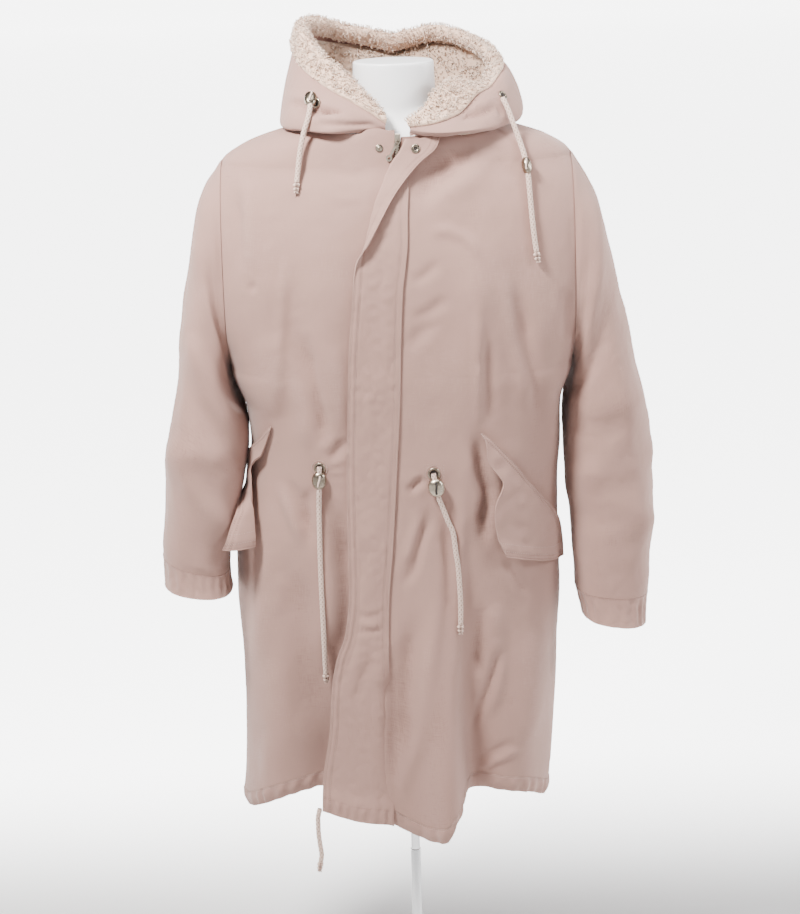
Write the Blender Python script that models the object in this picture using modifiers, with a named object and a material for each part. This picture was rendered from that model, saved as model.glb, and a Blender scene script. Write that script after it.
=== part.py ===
"""A fur trimmed parka on a limbless dress form and stand.

Metres, +Z up, the garment's front towards -Y, +X on the wearer's left. The origin is on the floor under the pole.
"""

import math
from collections import namedtuple

import bmesh
import bpy
import numpy as np
from mathutils import Matrix, Vector
from mathutils.bvhtree import BVHTree

# ---- driving sizes ----
CLOTH = 0.002  # cotton shell with its lining
FUR = 0.009  # pile and backing
GAP = 0.0003  # between pieces that meet at a seam
LAY = 0.0009  # under a piece that lies on another
CASING = 0.026  # height of the hem channel
CORD = 0.007

HEM_Z, FLARE_Z, ARMPIT_Z, TIP_Z, NECK_Z = 0.356, 0.75, 1.04, 1.32, 1.372
ARMHOLE_X = 0.240  # the upright plane that each sleeve is sewn on at
ARMHOLE_HALF = 0.095  # half of the armhole's depth, front to back
ARMHOLE_TAPER = 0.12
ROUND = 2.4  # exponent of the armholes and the sleeves
ZIP_HALF = 0.004  # from the zip's centre to a front's edge
ZIP_LOW, ZIP_TOP = 0.69, 1.365
SLIDER_Z = 1.3575
PULL_LEAN = 30  # degrees that the pull tab hangs towards the wearer's right
CORD_END = [(0, 0.0), (0.0036, 0.0006), (0.0048, 0.0036), (0.0036, 0.0070), (0.0042, 0.0120), (0, 0.0140)]

FRONT, BACK = -1, 1
FACE = {"front_right": FRONT, "front_left": FRONT, "back": BACK}

# ---- tables ----
Section = namedtuple("Section", "z half_width shift front back square")  # square 2 is an ellipse
TORSO = [
    Section(0.320, 0.226, -0.030, 0.150, 0.141, 2.3),
    Section(0.356, 0.226, -0.029, 0.150, 0.140, 2.3),
    Section(0.440, 0.2265, -0.021, 0.150, 0.138, 2.3),
    Section(0.600, 0.228, -0.014, 0.149, 0.133, 2.4),
    Section(0.700, 0.234, -0.0135, 0.148, 0.129, 2.4),
    Section(0.800, 0.231, -0.0125, 0.147, 0.124, 2.5),
    Section(0.880, 0.2215, -0.003, 0.146, 0.120, 2.6),
    Section(0.930, 0.2195, 0.002, 0.146, 0.120, 2.8),
    Section(0.980, 0.222, 0.001, 0.147, 0.124, 3.0),
    Section(1.040, 0.2397, 0.000, 0.149, 0.131, 3.2),
    Section(1.150, 0.2397, 0.000, 0.149, 0.137, 3.0),
    Section(1.200, 0.2397, 0.000, 0.145, 0.135, 2.8),
    Section(1.250, 0.2397, 0.000, 0.135, 0.128, 2.6),
    Section(1.290, 0.2397, 0.000, 0.122, 0.118, 2.5),
    Section(1.320, 0.2397, 0.000, 0.107, 0.107, 2.4),
    Section(1.342, 0.2115, 0.000, 0.103, 0.096, 2.4),
    Section(1.352, 0.187, 0.000, 0.1015, 0.090, 2.4),
    Section(1.363, 0.150, 0.000, 0.100, 0.083, 2.3),
    Section(1.372, 0.105, 0.000, 0.098, 0.076, 2.3),
    Section(1.378, 0.090, 0.000, 0.096, 0.068, 2.3),
]

# Where the zip runs and where the storm flap is sewn on, how wide it is, and its top turned out like a lapel:
# the width left before the turn and the angle that the cloth turns through.
Fly = namedtuple("Fly", "z zip_x sewn_x width turn_at turn_deg")
FLY = [
    Fly(0.320, -0.050, -0.030, 0.103, 0.200, 0),
    Fly(0.400, -0.050, -0.030, 0.100, 0.190, 0),
    Fly(0.500, -0.048, -0.030, 0.087, 0.150, 0),
    Fly(0.580, -0.047, -0.030, 0.081, 0.130, 0),
    Fly(0.620, -0.046, -0.030, 0.074, 0.120, 0),
    Fly(0.667, -0.045, -0.029, 0.061, 0.110, 0),
    Fly(0.725, -0.043, -0.027, 0.056, 0.100, 0),
    Fly(0.797, -0.038, -0.020, 0.062, 0.090, 0),
    Fly(0.911, -0.030, -0.011, 0.069, 0.085, 0),
    Fly(1.010, -0.024, -0.004, 0.071, 0.078, 0),
    Fly(1.080, -0.020, -0.001, 0.070, 0.074, 0),
    Fly(1.160, -0.014, 0.004, 0.067, 0.066, 5),
    Fly(1.197, -0.010, 0.009, 0.069, 0.060, 40),
    Fly(1.225, -0.007, 0.012, 0.071, 0.053, 105),
    Fly(1.260, -0.005, 0.013, 0.070, 0.044, 150),
    Fly(1.287, -0.003, 0.015, 0.068, 0.036, 166),
    Fly(1.327, 0.000, 0.017, 0.066, 0.0185, 172),
    Fly(1.345, 0.002, 0.018, 0.064, 0.008, 174),
    Fly(1.372, 0.003, 0.019, 0.056, 0.000, 176),
]

# The height that the hem reaches, by x
Hem = namedtuple("Hem", "x z")
HEMS = {
    "front_right": [
        Hem(-0.260, 0.358),
        Hem(-0.222, 0.393),
        Hem(-0.185, 0.417),
        Hem(-0.150, 0.427),
        Hem(-0.100, 0.430),
        Hem(-0.040, 0.418),
    ],
    "front_left": [
        Hem(-0.130, 0.408),
        Hem(-0.080, 0.394),
        Hem(-0.037, 0.386),
        Hem(-0.008, 0.370),
        Hem(0.018, 0.360),
        Hem(0.038, 0.364),
        Hem(0.056, 0.386),
        Hem(0.078, 0.420),
        Hem(0.100, 0.426),
        Hem(0.135, 0.421),
        Hem(0.167, 0.407),
        Hem(0.200, 0.374),
    ],
    "back": [Hem(-0.260, 0.356), Hem(-0.150, 0.340), Hem(0.000, 0.332), Hem(0.130, 0.340), Hem(0.200, 0.362)],
}

# How far the neckline drops below NECK_Z in front; the right front's free corner stands up
Neckline = namedtuple("Neckline", "x drop")
NECKLINES = {
    "front_right": [
        Neckline(-0.105, 0.000),
        Neckline(-0.060, 0.009),
        Neckline(-0.048, 0.009),
        Neckline(-0.036, 0.003),
        Neckline(-0.024, 0.002),
        Neckline(-0.010, 0.005),
    ],
    "front_left": [
        Neckline(-0.105, 0.000),
        Neckline(-0.060, 0.010),
        Neckline(0.000, 0.014),
        Neckline(0.060, 0.010),
        Neckline(0.105, 0.000),
    ],
}

# The largest folds: each starts at z_top, is full at z_full, has gone by z_end, and leans from x_top to x_hem.
Fold = namedtuple("Fold", "part x_top x_hem z_top z_full z_end push width")
FOLDS = [
    Fold("front_left", 0.032, 0.048, 0.84, 0.42, 0.00, 0.036, 0.030),
    Fold("front_left", 0.072, 0.096, 0.80, 0.44, 0.00, -0.024, 0.024),
    Fold("front_left", 0.160, 0.150, 0.70, 0.50, 0.00, 0.010, 0.030),
    Fold("front_left", 0.105, 0.070, 1.26, 1.12, 0.92, 0.007, 0.022),
    Fold("front_left", 0.160, 0.150, 1.24, 1.12, 0.98, -0.006, 0.020),
    Fold("front_right", -0.115, -0.130, 0.74, 0.42, 0.00, -0.040, 0.048),
    Fold("front_right", -0.190, -0.200, 0.72, 0.50, 0.00, 0.008, 0.030),
    Fold("front_right", -0.100, -0.140, 1.26, 1.05, 0.80, 0.007, 0.026),
    Fold("front_right", -0.150, -0.140, 1.24, 1.10, 0.92, -0.006, 0.020),
    Fold("back", -0.120, -0.130, 0.95, 0.50, 0.00, 0.014, 0.040),
    Fold("back", -0.040, -0.045, 0.95, 0.50, 0.00, -0.012, 0.035),
    Fold("back", 0.030, 0.040, 0.95, 0.50, 0.00, 0.014, 0.035),
    Fold("back", 0.110, 0.110, 0.95, 0.50, 0.00, -0.010, 0.035),
    Fold("back", -0.090, -0.070, 1.26, 1.10, 0.90, 0.007, 0.030),
    Fold("back", 0.090, 0.070, 1.26, 1.10, 0.90, 0.007, 0.030),
]

# Sleeves: each ring spans from its outer to its inner point and is 2 * half deep. step 0 is the armhole.
Ring = namedtuple("Ring", "step outer_x outer_z inner_x inner_z half y")
SLEEVES = {
    "left": [
        Ring(0, 0.2400, 1.320, 0.2400, 1.040, 0.095, 0.000),
        Ring(1, 0.2640, 1.281, 0.2412, 1.031, 0.094, -0.001),
        Ring(2, 0.2800, 1.238, 0.2415, 1.023, 0.093, -0.002),
        Ring(3, 0.2910, 1.190, 0.2405, 1.015, 0.092, -0.003),
        Ring(4, 0.3020, 1.140, 0.2385, 1.005, 0.090, -0.004),
        Ring(5, 0.3130, 1.095, 0.2355, 0.992, 0.088, -0.005),
        Ring(6, 0.3240, 1.045, 0.2315, 0.975, 0.086, -0.007),
        Ring(7, 0.3340, 0.995, 0.2295, 0.948, 0.083, -0.009),
        Ring(8, 0.3430, 0.945, 0.2295, 0.915, 0.080, -0.011),
        Ring(9, 0.3485, 0.897, 0.2325, 0.875, 0.077, -0.013),
        Ring(10, 0.3505, 0.845, 0.2360, 0.830, 0.074, -0.016),
        Ring(11, 0.3500, 0.797, 0.2380, 0.790, 0.071, -0.019),
        Ring(12, 0.3470, 0.747, 0.2395, 0.748, 0.067, -0.023),
        Ring(13, 0.3435, 0.692, 0.2430, 0.700, 0.062, -0.027),
    ],
    "right": [
        Ring(0, 0.2400, 1.320, 0.2400, 1.040, 0.095, 0.000),
        Ring(1, 0.2629, 1.289, 0.2411, 1.030, 0.094, -0.002),
        Ring(2, 0.2766, 1.252, 0.2409, 1.022, 0.093, -0.006),
        Ring(3, 0.2851, 1.212, 0.2392, 1.013, 0.092, -0.012),
        Ring(4, 0.2915, 1.168, 0.2358, 1.002, 0.091, -0.019),
        Ring(5, 0.2979, 1.126, 0.2314, 0.988, 0.089, -0.026),
        Ring(6, 0.3038, 1.081, 0.2235, 0.970, 0.087, -0.033),
        Ring(7, 0.3092, 1.031, 0.2206, 0.948, 0.084, -0.040),
        Ring(8, 0.3172, 0.984, 0.2228, 0.919, 0.081, -0.046),
        Ring(9, 0.3268, 0.944, 0.2280, 0.889, 0.078, -0.050),
        Ring(10, 0.3329, 0.899, 0.2341, 0.854, 0.075, -0.052),
        Ring(11, 0.3360, 0.857, 0.2416, 0.819, 0.072, -0.054),
        Ring(12, 0.3398, 0.817, 0.2503, 0.784, 0.068, -0.055),
        Ring(13, 0.3441, 0.776, 0.2555, 0.750, 0.064, -0.056),
    ],
}
SLEEVE_SIDE = {"left": 1, "right": -1}
CUFF_DROP = {"left": (-0.004, -0.044, 0.010, -0.040), "right": (-0.001, -0.042, -0.002, -0.030)}

# Creases of a sleeve: where they lie along it and round it (90 is outside, 180 front, 270 inside), and their lean
Crease = namedtuple("Crease", "side step angle lean push width spread")
CREASES = [
    Crease("left", 2.0, 165, 0.010, -0.006, 0.9, 38),
    Crease("left", 4.5, 200, 0.012, 0.006, 0.8, 40),
    Crease("left", 7.0, 150, -0.010, -0.005, 0.8, 45),
    Crease("left", 9.0, 205, 0.014, -0.007, 0.7, 45),
    Crease("left", 10.6, 140, -0.014, -0.006, 0.6, 45),
    Crease("right", 2.5, 190, 0.010, -0.006, 0.9, 40),
    Crease("right", 5.5, 150, -0.012, -0.006, 0.7, 40),
    Crease("right", 7.5, 195, 0.016, 0.007, 0.7, 45),
    Crease("right", 8.8, 160, -0.016, -0.008, 0.6, 50),
    Crease("right", 10.4, 200, 0.016, -0.007, 0.6, 45),
    Crease("left", 9.5, 350, 0.010, -0.007, 0.7, 50),
    Crease("right", 9.5, 350, 0.010, -0.007, 0.7, 50),
]

# Hood, by angle from straight in front (-90 is the wearer's right). Each section runs in radius and height from
# the neckline out to its low roll, round its outermost point, up to the fur's edge and over the rim.
Hood = namedtuple("Hood", "angle low_r low_z out_r out_z edge_r edge_z rim_r rim_z")
HOOD = {
    "right": [
        Hood(-180, 0.150, 1.345, 0.222, 1.392, 0.203, 1.438, 0.180, 1.466),
        Hood(-160, 0.150, 1.347, 0.213, 1.392, 0.202, 1.452, 0.180, 1.482),
        Hood(-135, 0.150, 1.353, 0.192, 1.390, 0.180, 1.460, 0.163, 1.498),
        Hood(-110, 0.150, 1.360, 0.167, 1.384, 0.152, 1.448, 0.133, 1.488),
        Hood(-90, 0.148, 1.366, 0.157, 1.376, 0.138, 1.434, 0.105, 1.464),
        Hood(-60, 0.138, 1.365, 0.151, 1.373, 0.118, 1.411, 0.080, 1.435),
        Hood(-40, 0.129, 1.364, 0.136, 1.371, 0.111, 1.400, 0.074, 1.416),
        Hood(-22, 0.098, 1.366, 0.101, 1.371, 0.100, 1.386, 0.081, 1.399),
        Hood(-8, 0.092, 1.362, 0.093, 1.366, 0.094, 1.372, 0.088, 1.381),
    ],
    "left": [
        Hood(11, 0.098, 1.362, 0.101, 1.365, 0.102, 1.368, 0.094, 1.374),
        Hood(22, 0.119, 1.359, 0.127, 1.363, 0.126, 1.368, 0.100, 1.387),
        Hood(40, 0.134, 1.359, 0.148, 1.364, 0.140, 1.372, 0.089, 1.410),
        Hood(60, 0.146, 1.360, 0.162, 1.368, 0.141, 1.396, 0.093, 1.422),
        Hood(75, 0.150, 1.362, 0.169, 1.373, 0.145, 1.412, 0.118, 1.410),
        Hood(90, 0.152, 1.362, 0.176, 1.379, 0.155, 1.427, 0.133, 1.428),
        Hood(110, 0.152, 1.358, 0.187, 1.386, 0.168, 1.433, 0.146, 1.442),
        Hood(135, 0.152, 1.353, 0.204, 1.392, 0.192, 1.447, 0.163, 1.462),
        Hood(160, 0.150, 1.347, 0.220, 1.393, 0.208, 1.452, 0.182, 1.478),
        Hood(180, 0.150, 1.345, 0.222, 1.392, 0.203, 1.438, 0.180, 1.466),
    ],
}
HOOD_ROWS = (0.0, 0.5, 1.0, 1.5, 2.0, 2.5, 3.0, 3.35, 3.7, 4.0)
TRIM_ROWS = HOOD_ROWS[-4:]  # the trim covers these outside and the last three inside
HOOD_LIFT = 0.0026  # between the hood's roll and the shoulders
FUR_LIFT = 0.0031  # between the shell and the fur inside it

# How far up the hood its fur lining reaches, and how thick the fur inside is: pressed flat where the lapel is folded
Lining = namedtuple("Lining", "angle row depth")
LININGS = {
    "right": [Lining(-180, 3.3, 0.008), Lining(-50, 3.3, 0.008), Lining(-29, 3.3, 0.005)],
    "left": [
        Lining(25, 2.4, 0.0028),
        Lining(45, 2.5, 0.003),
        Lining(60, 2.75, 0.004),
        Lining(75, 2.8, 0.006),
        Lining(90, 2.9, 0.007),
        Lining(105, 3.05, 0.008),
        Lining(125, 3.3, 0.008),
        Lining(180, 3.3, 0.008),
    ],
}

Form = namedtuple("Form", "z half_width front back")
FORM = [
    Form(0.800, 0.150, 0.104, 0.098),
    Form(0.900, 0.150, 0.104, 0.092),
    Form(1.000, 0.165, 0.116, 0.102),
    Form(1.100, 0.186, 0.126, 0.114),
    Form(1.200, 0.202, 0.118, 0.112),
    Form(1.260, 0.207, 0.108, 0.102),
    Form(1.300, 0.206, 0.098, 0.092),
    Form(1.325, 0.200, 0.088, 0.085),
    Form(1.3435, 0.190, 0.082, 0.082),
    Form(1.3535, 0.172, 0.078, 0.077),
    Form(1.3613, 0.140, 0.074, 0.071),
    Form(1.369, 0.104, 0.0675, 0.066),
    Form(1.3785, 0.074, 0.061, 0.060),
    Form(1.392, 0.058, 0.057, 0.057),
    Form(1.450, 0.055, 0.055, 0.055),
]

# Pocket flaps: a row for each height, from the free edge to the seam, with how far each stands out from the front
Flap = namedtuple("Flap", "free_x free_z free_out seam_x seam_z seam_out seam_forward")
POCKETS = {
    "right": [
        Flap(-0.1790, 0.9700, 0.0015, -0.1815, 0.9695, 0.0014, 0.000),
        Flap(-0.1830, 0.9550, 0.0030, -0.1930, 0.9530, 0.0030, 0.000),
        Flap(-0.1880, 0.9390, 0.0040, -0.2060, 0.9340, 0.0040, 0.000),
        Flap(-0.1920, 0.9230, 0.0070, -0.2145, 0.9180, 0.0040, 0.000),
        Flap(-0.2050, 0.9050, 0.0100, -0.2160, 0.9000, 0.0030, 0.000),
        Flap(-0.2030, 0.8790, 0.0130, -0.2210, 0.8730, 0.0016, 0.002),
        Flap(-0.2025, 0.8630, 0.0140, -0.2245, 0.8600, 0.0040, 0.014),
        Flap(-0.2020, 0.8460, 0.0150, -0.2240, 0.8440, 0.0110, 0.040),
        Flap(-0.2015, 0.8280, 0.0160, -0.2270, 0.8250, 0.0180, 0.046),
        Flap(-0.2010, 0.8110, 0.0160, -0.2310, 0.8080, 0.0200, 0.052),
        Flap(-0.2020, 0.7970, 0.0160, -0.2350, 0.7950, 0.0220, 0.058),
    ],
    "left": [
        Flap(0.1033, 0.9590, 0.0020, 0.1065, 0.9587, 0.0014, 0.000),
        Flap(0.1100, 0.9453, 0.0040, 0.1225, 0.9442, 0.0014, 0.000),
        Flap(0.1110, 0.9308, 0.0060, 0.1360, 0.9282, 0.0014, 0.000),
        Flap(0.1115, 0.9163, 0.0070, 0.1486, 0.9117, 0.0014, 0.000),
        Flap(0.1205, 0.9035, 0.0090, 0.1584, 0.8983, 0.0014, 0.000),
        Flap(0.1290, 0.8879, 0.0120, 0.1684, 0.8814, 0.0014, 0.000),
        Flap(0.1255, 0.8737, 0.0140, 0.1814, 0.8634, 0.0014, 0.000),
        Flap(0.1180, 0.8601, 0.0150, 0.1935, 0.8439, 0.0030, 0.000),
        Flap(0.1163, 0.8457, 0.0150, 0.2062, 0.8221, 0.0040, 0.000),
        Flap(0.1168, 0.8310, 0.0150, 0.2125, 0.8000, 0.0040, 0.000),
        Flap(0.1195, 0.8087, 0.0150, 0.2155, 0.7744, 0.0045, 0.000),
        Flap(0.1300, 0.7810, 0.0170, 0.2160, 0.7480, 0.0055, 0.000),
    ],
}

# Drawstrings: the points that each one passes, and the plain end below its last point
Point = namedtuple("Point", "x y z")
CORDS = {
    "waist_cord_right": [
        Point(-0.1168, -0.1446, 0.9185),
        Point(-0.1177, -0.1461, 0.8995),
        Point(-0.1183, -0.1468, 0.8850),
        Point(-0.1195, -0.1427, 0.8602),
        Point(-0.1202, -0.1425, 0.8256),
        Point(-0.1207, -0.1425, 0.7937),
        Point(-0.1208, -0.1427, 0.7589),
        Point(-0.1206, -0.1425, 0.7265),
        Point(-0.1203, -0.1405, 0.6812),
        Point(-0.1202, -0.1350, 0.6326),
        Point(-0.1197, -0.1320, 0.6120),
    ],
    "waist_cord_left": [
        Point(0.0384, -0.1512, 0.9060),
        Point(0.0419, -0.1531, 0.8866),
        Point(0.0448, -0.1533, 0.8720),
        Point(0.0504, -0.1512, 0.8562),
        Point(0.0569, -0.1505, 0.8371),
        Point(0.0634, -0.1500, 0.8209),
        Point(0.0655, -0.1500, 0.8051),
        Point(0.0669, -0.1500, 0.7905),
        Point(0.0693, -0.1495, 0.7727),
        Point(0.0704, -0.1490, 0.7535),
        Point(0.0713, -0.1490, 0.7344),
        Point(0.0717, -0.1487, 0.7148),
        Point(0.0712, -0.1485, 0.6860),
    ],
    "hood_cord_right": [
        Point(-0.1110, -0.0622, 1.4165),
        Point(-0.1117, -0.0714, 1.4085),
        Point(-0.1126, -0.0823, 1.3989),
        Point(-0.1140, -0.0872, 1.3910),
        Point(-0.1165, -0.0903, 1.3820),
        Point(-0.1200, -0.0930, 1.3725),
        Point(-0.1245, -0.0975, 1.3559),
        Point(-0.1276, -0.1005, 1.3418),
        Point(-0.1296, -0.1040, 1.3290),
        Point(-0.1317, -0.1080, 1.3136),
        Point(-0.1330, -0.1115, 1.3030),
    ],
    "hood_cord_left": [
        Point(0.1456, -0.0514, 1.4000),
        Point(0.1494, -0.0585, 1.3925),
        Point(0.1533, -0.0640, 1.3830),
        Point(0.1570, -0.0690, 1.3721),
        Point(0.1607, -0.0735, 1.3616),
        Point(0.1667, -0.0810, 1.3437),
        Point(0.1712, -0.0905, 1.3285),
        Point(0.1738, -0.0985, 1.3146),
        Point(0.1756, -0.1050, 1.3010),
        Point(0.1765, -0.1105, 1.2848),
        Point(0.1779, -0.1173, 1.2618),
        Point(0.1798, -0.1243, 1.2375),
        Point(0.1820, -0.1275, 1.2163),
        Point(0.1836, -0.1295, 1.2040),
    ],
    "hem_cord": [
        Point(-0.1356, -0.1462, 0.4113),
        Point(-0.1388, -0.1472, 0.3950),
        Point(-0.1388, -0.1478, 0.3783),
        Point(-0.1374, -0.1480, 0.3580),
        Point(-0.1356, -0.1480, 0.3405),
        Point(-0.1374, -0.1480, 0.3285),
    ],
}

# Oval metal stoppers: the cord that runs through, the point it lies at, and its size
Stopper = namedtuple("Stopper", "cord point width depth height")
STOPPERS = {
    "waist_stopper_right": Stopper("waist_cord_right", 1, 0.0188, 0.0125, 0.0245),
    "waist_stopper_left": Stopper("waist_cord_left", 1, 0.0215, 0.0135, 0.0255),
    "hood_stopper_right": Stopper("hood_cord_right", 1, 0.0160, 0.0120, 0.0245),
    "hood_stopper_left": Stopper("hood_cord_left", 7, 0.0120, 0.0180, 0.0235),
}

# Metal rings and snap parts: the node each is set in, and where
Metal = namedtuple("Metal", "carrier x z radius hole height")
METALS = {
    "waist_eyelet_right": Metal("front_right", -0.1168, 0.9150, 0.0082, 0.0048, 0.0013),
    "waist_eyelet_left": Metal("front_left", 0.0392, 0.9040, 0.0088, 0.0052, 0.0013),
    "hood_eyelet_right": Metal("hood_shell_right", -0.1040, 1.4030, 0.0070, 0.0040, 0.0012),
    "hood_eyelet_left": Metal("hood_shell_left", 0.1462, 1.4025, 0.0070, 0.0040, 0.0012),
    "snap_socket": Metal("storm_flap", 0.0260, 1.3436, 0.0062, 0.0022, 0.0016),
}

COLOURS = {
    "cotton": ((0.565, 0.462, 0.420), 0.85, 0.0),
    "teddy_fur": ((0.700, 0.560, 0.470), 0.95, 0.0),
    "cord": ((0.640, 0.520, 0.460), 0.85, 0.0),
    "old_brass": ((0.330, 0.280, 0.210), 0.35, 1.0),
    "form_skin": ((0.830, 0.830, 0.840), 0.45, 0.0),
    "stand_metal": ((0.620, 0.610, 0.610), 0.18, 1.0),
    "base_metal": ((0.600, 0.600, 0.610), 0.30, 1.0),
}


# ---- curves and sections ----
def smooth(table, name, at):
    """A column of a table, as a monotone cubic over its first column."""
    x = np.array([row[0] for row in table], float)
    y = np.array([getattr(row, name) for row in table], float)
    step = np.diff(x)
    slope = np.diff(y) / step
    both = slope[1:] * slope[:-1]
    total = np.where(both > 0, slope[1:] + slope[:-1], 1.0)
    middle = np.where(both > 0, 2 * both / total, 0.0)
    tangent = np.concatenate([slope[:1], middle, slope[-1:]])
    at = np.clip(at, x[0], x[-1])
    i = np.clip(np.searchsorted(x, at) - 1, 0, len(x) - 2)
    t = (at - x[i]) / step[i]
    near = y[i] * (1 + 2 * t) + step[i] * tangent[i] * t
    far = y[i + 1] * (3 - 2 * t) + step[i] * tangent[i + 1] * (t - 1)
    return near * (1 - t) ** 2 + far * t**2


def ease(t):
    t = np.clip(t, 0, 1)
    return t * t * (3 - 2 * t)


def power(value, exponent):
    return np.sign(value) * np.abs(value) ** exponent


def unit(vectors):
    return vectors / np.maximum(np.linalg.norm(vectors, axis=-1, keepdims=True), 1e-12)


def armhole_half(z):
    """Half of the armhole's depth at height z, 0 outside it."""
    rise = (z - (TIP_Z + ARMPIT_Z) / 2) / ((TIP_Z - ARMPIT_Z) / 2)
    inside = np.clip(1 - np.abs(rise) ** ROUND, 0, 1)
    return ARMHOLE_HALF * inside ** (1 / ROUND) * (1 - ARMHOLE_TAPER * rise)


def section(u, z, face):
    """The torso's outline at height z: u runs from -1, the wearer's right boundary, to 1."""
    depth = smooth(TORSO, "front" if face == FRONT else "back", z)
    shift = smooth(TORSO, "shift", z)
    square = smooth(TORSO, "square", z)
    half = armhole_half(z)
    reach = np.where(half > 0, ARMHOLE_X - GAP - np.sign(u) * shift, smooth(TORSO, "half_width", z))
    full = reach / (1 - (half / depth) ** square) ** (1 / square)
    widest = np.arcsin(np.clip((reach / full) ** (square / 2), 0, 1))
    angle = u * widest
    x = shift + full * power(np.sin(angle), 2 / square)
    return x, face * depth * power(np.cos(angle), 2 / square)


def fold_push(x, z, part):
    total = np.zeros_like(x)
    for fold in FOLDS:
        if fold.part != part:
            continue
        lean = np.clip((fold.z_top - z) / (fold.z_top - HEM_Z), 0, 1)
        centre = fold.x_top + (fold.x_hem - fold.x_top) * lean
        rise = ease((fold.z_top - z) / (fold.z_top - fold.z_full))
        fall = ease((z - fold.z_end) / (fold.z_full - fold.z_end)) if fold.z_end else 1.0
        total += fold.push * rise * fall * np.exp(-(((x - centre) / fold.width) ** 2))
    return total


def lifted(level, x, part):
    """The height of a row of cloth at x: rows follow the hem below FLARE_Z and the neckline above the shoulders."""
    if level < FLARE_Z:
        share = (FLARE_Z - level) / (FLARE_Z - HEM_Z)
        return level + share * (smooth(HEMS[part], "z", x) - HEM_Z)
    if level > TIP_Z and FACE[part] == FRONT:
        share = (level - TIP_Z) / (NECK_Z - TIP_Z)
        return level - share**2 * smooth(NECKLINES[part], "drop", x)
    return np.full_like(x, level)


def outline(level, part):
    """A whole row of a face of the coat, finely, from the wearer's right boundary to the left one."""
    u = np.linspace(-1, 1, 241)
    z = np.full_like(u, level)
    for _ in range(3):
        x, y = section(u, z, FACE[part])
        z = lifted(level, x, part)
    along = unit(np.stack([np.gradient(x), np.gradient(y)], axis=-1))
    push = fold_push(x, z, part) * ease((1 - np.abs(u)) * 6)
    return np.stack([x - FACE[part] * along[:, 1] * push, y + FACE[part] * along[:, 0] * push, z], axis=-1)


def cloth_row(level, part, low_x, high_x, shares):
    """Points and directions along a row of cloth between two x values, or to the panel's boundary where x is None."""
    points = outline(level, part)
    steps = np.linalg.norm(np.diff(points, axis=0), axis=1)
    length = np.concatenate([[0], np.cumsum(steps)])
    start = GAP / 2 if low_x is None else np.interp(low_x, points[:, 0], length)
    end = length[-1] - GAP / 2 if high_x is None else np.interp(high_x, points[:, 0], length)
    skip = armhole_half(level)
    low, high = skip * (low_x is None), skip * (high_x is None)
    at = start - low + (end + high - start + low) * np.asarray(shares)
    stops = (start, start + 1.2 * low, end - 1.2 * high, end)
    at = np.interp(at, (start - low, start + 1.2 * low, end - 1.2 * high, end + high), stops)
    along = unit(np.gradient(points, axis=0))
    pick = np.stack([np.interp(at, length, points[:, k]) for k in range(3)], axis=-1)
    heading = np.stack([np.interp(at, length, along[:, k]) for k in range(3)], axis=-1)
    return pick, heading


def front_edges(part, level):
    """The x values that a panel spans: a front starts at the zip."""
    zip_x = float(smooth(FLY, "zip_x", level))
    if part == "front_right":
        return None, zip_x - ZIP_HALF
    if part == "front_left":
        return zip_x + ZIP_HALF, None
    return None, None


def climb(points, level, face):
    """The direction up the cloth at some points of a row, leaving out folds."""
    span, depth, shift = ([smooth(TORSO, name, level + d) for d in (-0.003, 0.003)]
                          for name in ("half_width", "front" if face == FRONT else "back", "shift"))
    across = (points[:, 0] - sum(shift) / 2) / (sum(span) / 2) * (span[1] - span[0]) + shift[1] - shift[0]
    out = points[:, 1] / (sum(depth) / 2) * (depth[1] - depth[0])
    return unit(np.stack([across, out, np.full(len(points), 0.006)], axis=-1))


def cloth_grid(part, levels, shares, edges=front_edges):
    """Outer points and outward normals of a panel, a row for each level."""
    rows, normals = [], []
    for level in levels:
        low_x, high_x = edges(part, level)
        here, along = cloth_row(level, part, low_x, high_x, shares)
        normal = unit(np.cross(along, climb(here, level, FACE[part]))) * -FACE[part]
        if ARMPIT_Z < level < TIP_Z:
            for end, limit in ((0, low_x), (-1, high_x)):
                if limit is None:
                    normal[end] = unit(normal[end] * (0, 1, 1))
        rows.append(here)
        normals.append(normal)
    return np.array(rows), np.array(normals)


def cloth_at(part, x, z, height=0.0):
    """The point that lies height above the cloth at x and z, and the outward normal there."""
    level = z
    for _ in range(8):
        points = outline(level, part)
        level += z - float(np.interp(x, points[:, 0], points[:, 2]))
    rows, normals = cloth_grid(part, [level], [0.5], edges=lambda name, row: (x - 1e-4, x + 1e-4))
    return rows[0, 0] + normals[0, 0] * height, normals[0, 0]


# ---- meshes ----
def material(name):
    if name in bpy.data.materials:
        return bpy.data.materials[name]
    colour, roughness, metallic = COLOURS[name]
    made = bpy.data.materials.new(name)
    made.use_nodes = True
    shader = made.node_tree.nodes["Principled BSDF"]
    shader.inputs["Base Color"].default_value = (*colour, 1)
    shader.inputs["Roughness"].default_value = roughness
    shader.inputs["Metallic"].default_value = metallic
    return made


def add_object(name, mesh, finish, flat=False):
    mesh.materials.clear()
    mesh.materials.append(material(finish))
    if not flat:
        mesh.shade_smooth()
        mesh.set_sharp_from_angle(angle=math.radians(40))
    made = bpy.data.objects.new(name, mesh)
    parka.objects.link(made)
    return made


def from_bmesh(name, bm, finish, flat=False):
    bmesh.ops.recalc_face_normals(bm, faces=bm.faces)
    mesh = bpy.data.meshes.new(name)
    bm.to_mesh(mesh)
    bm.free()
    return add_object(name, mesh, finish, flat)


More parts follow.
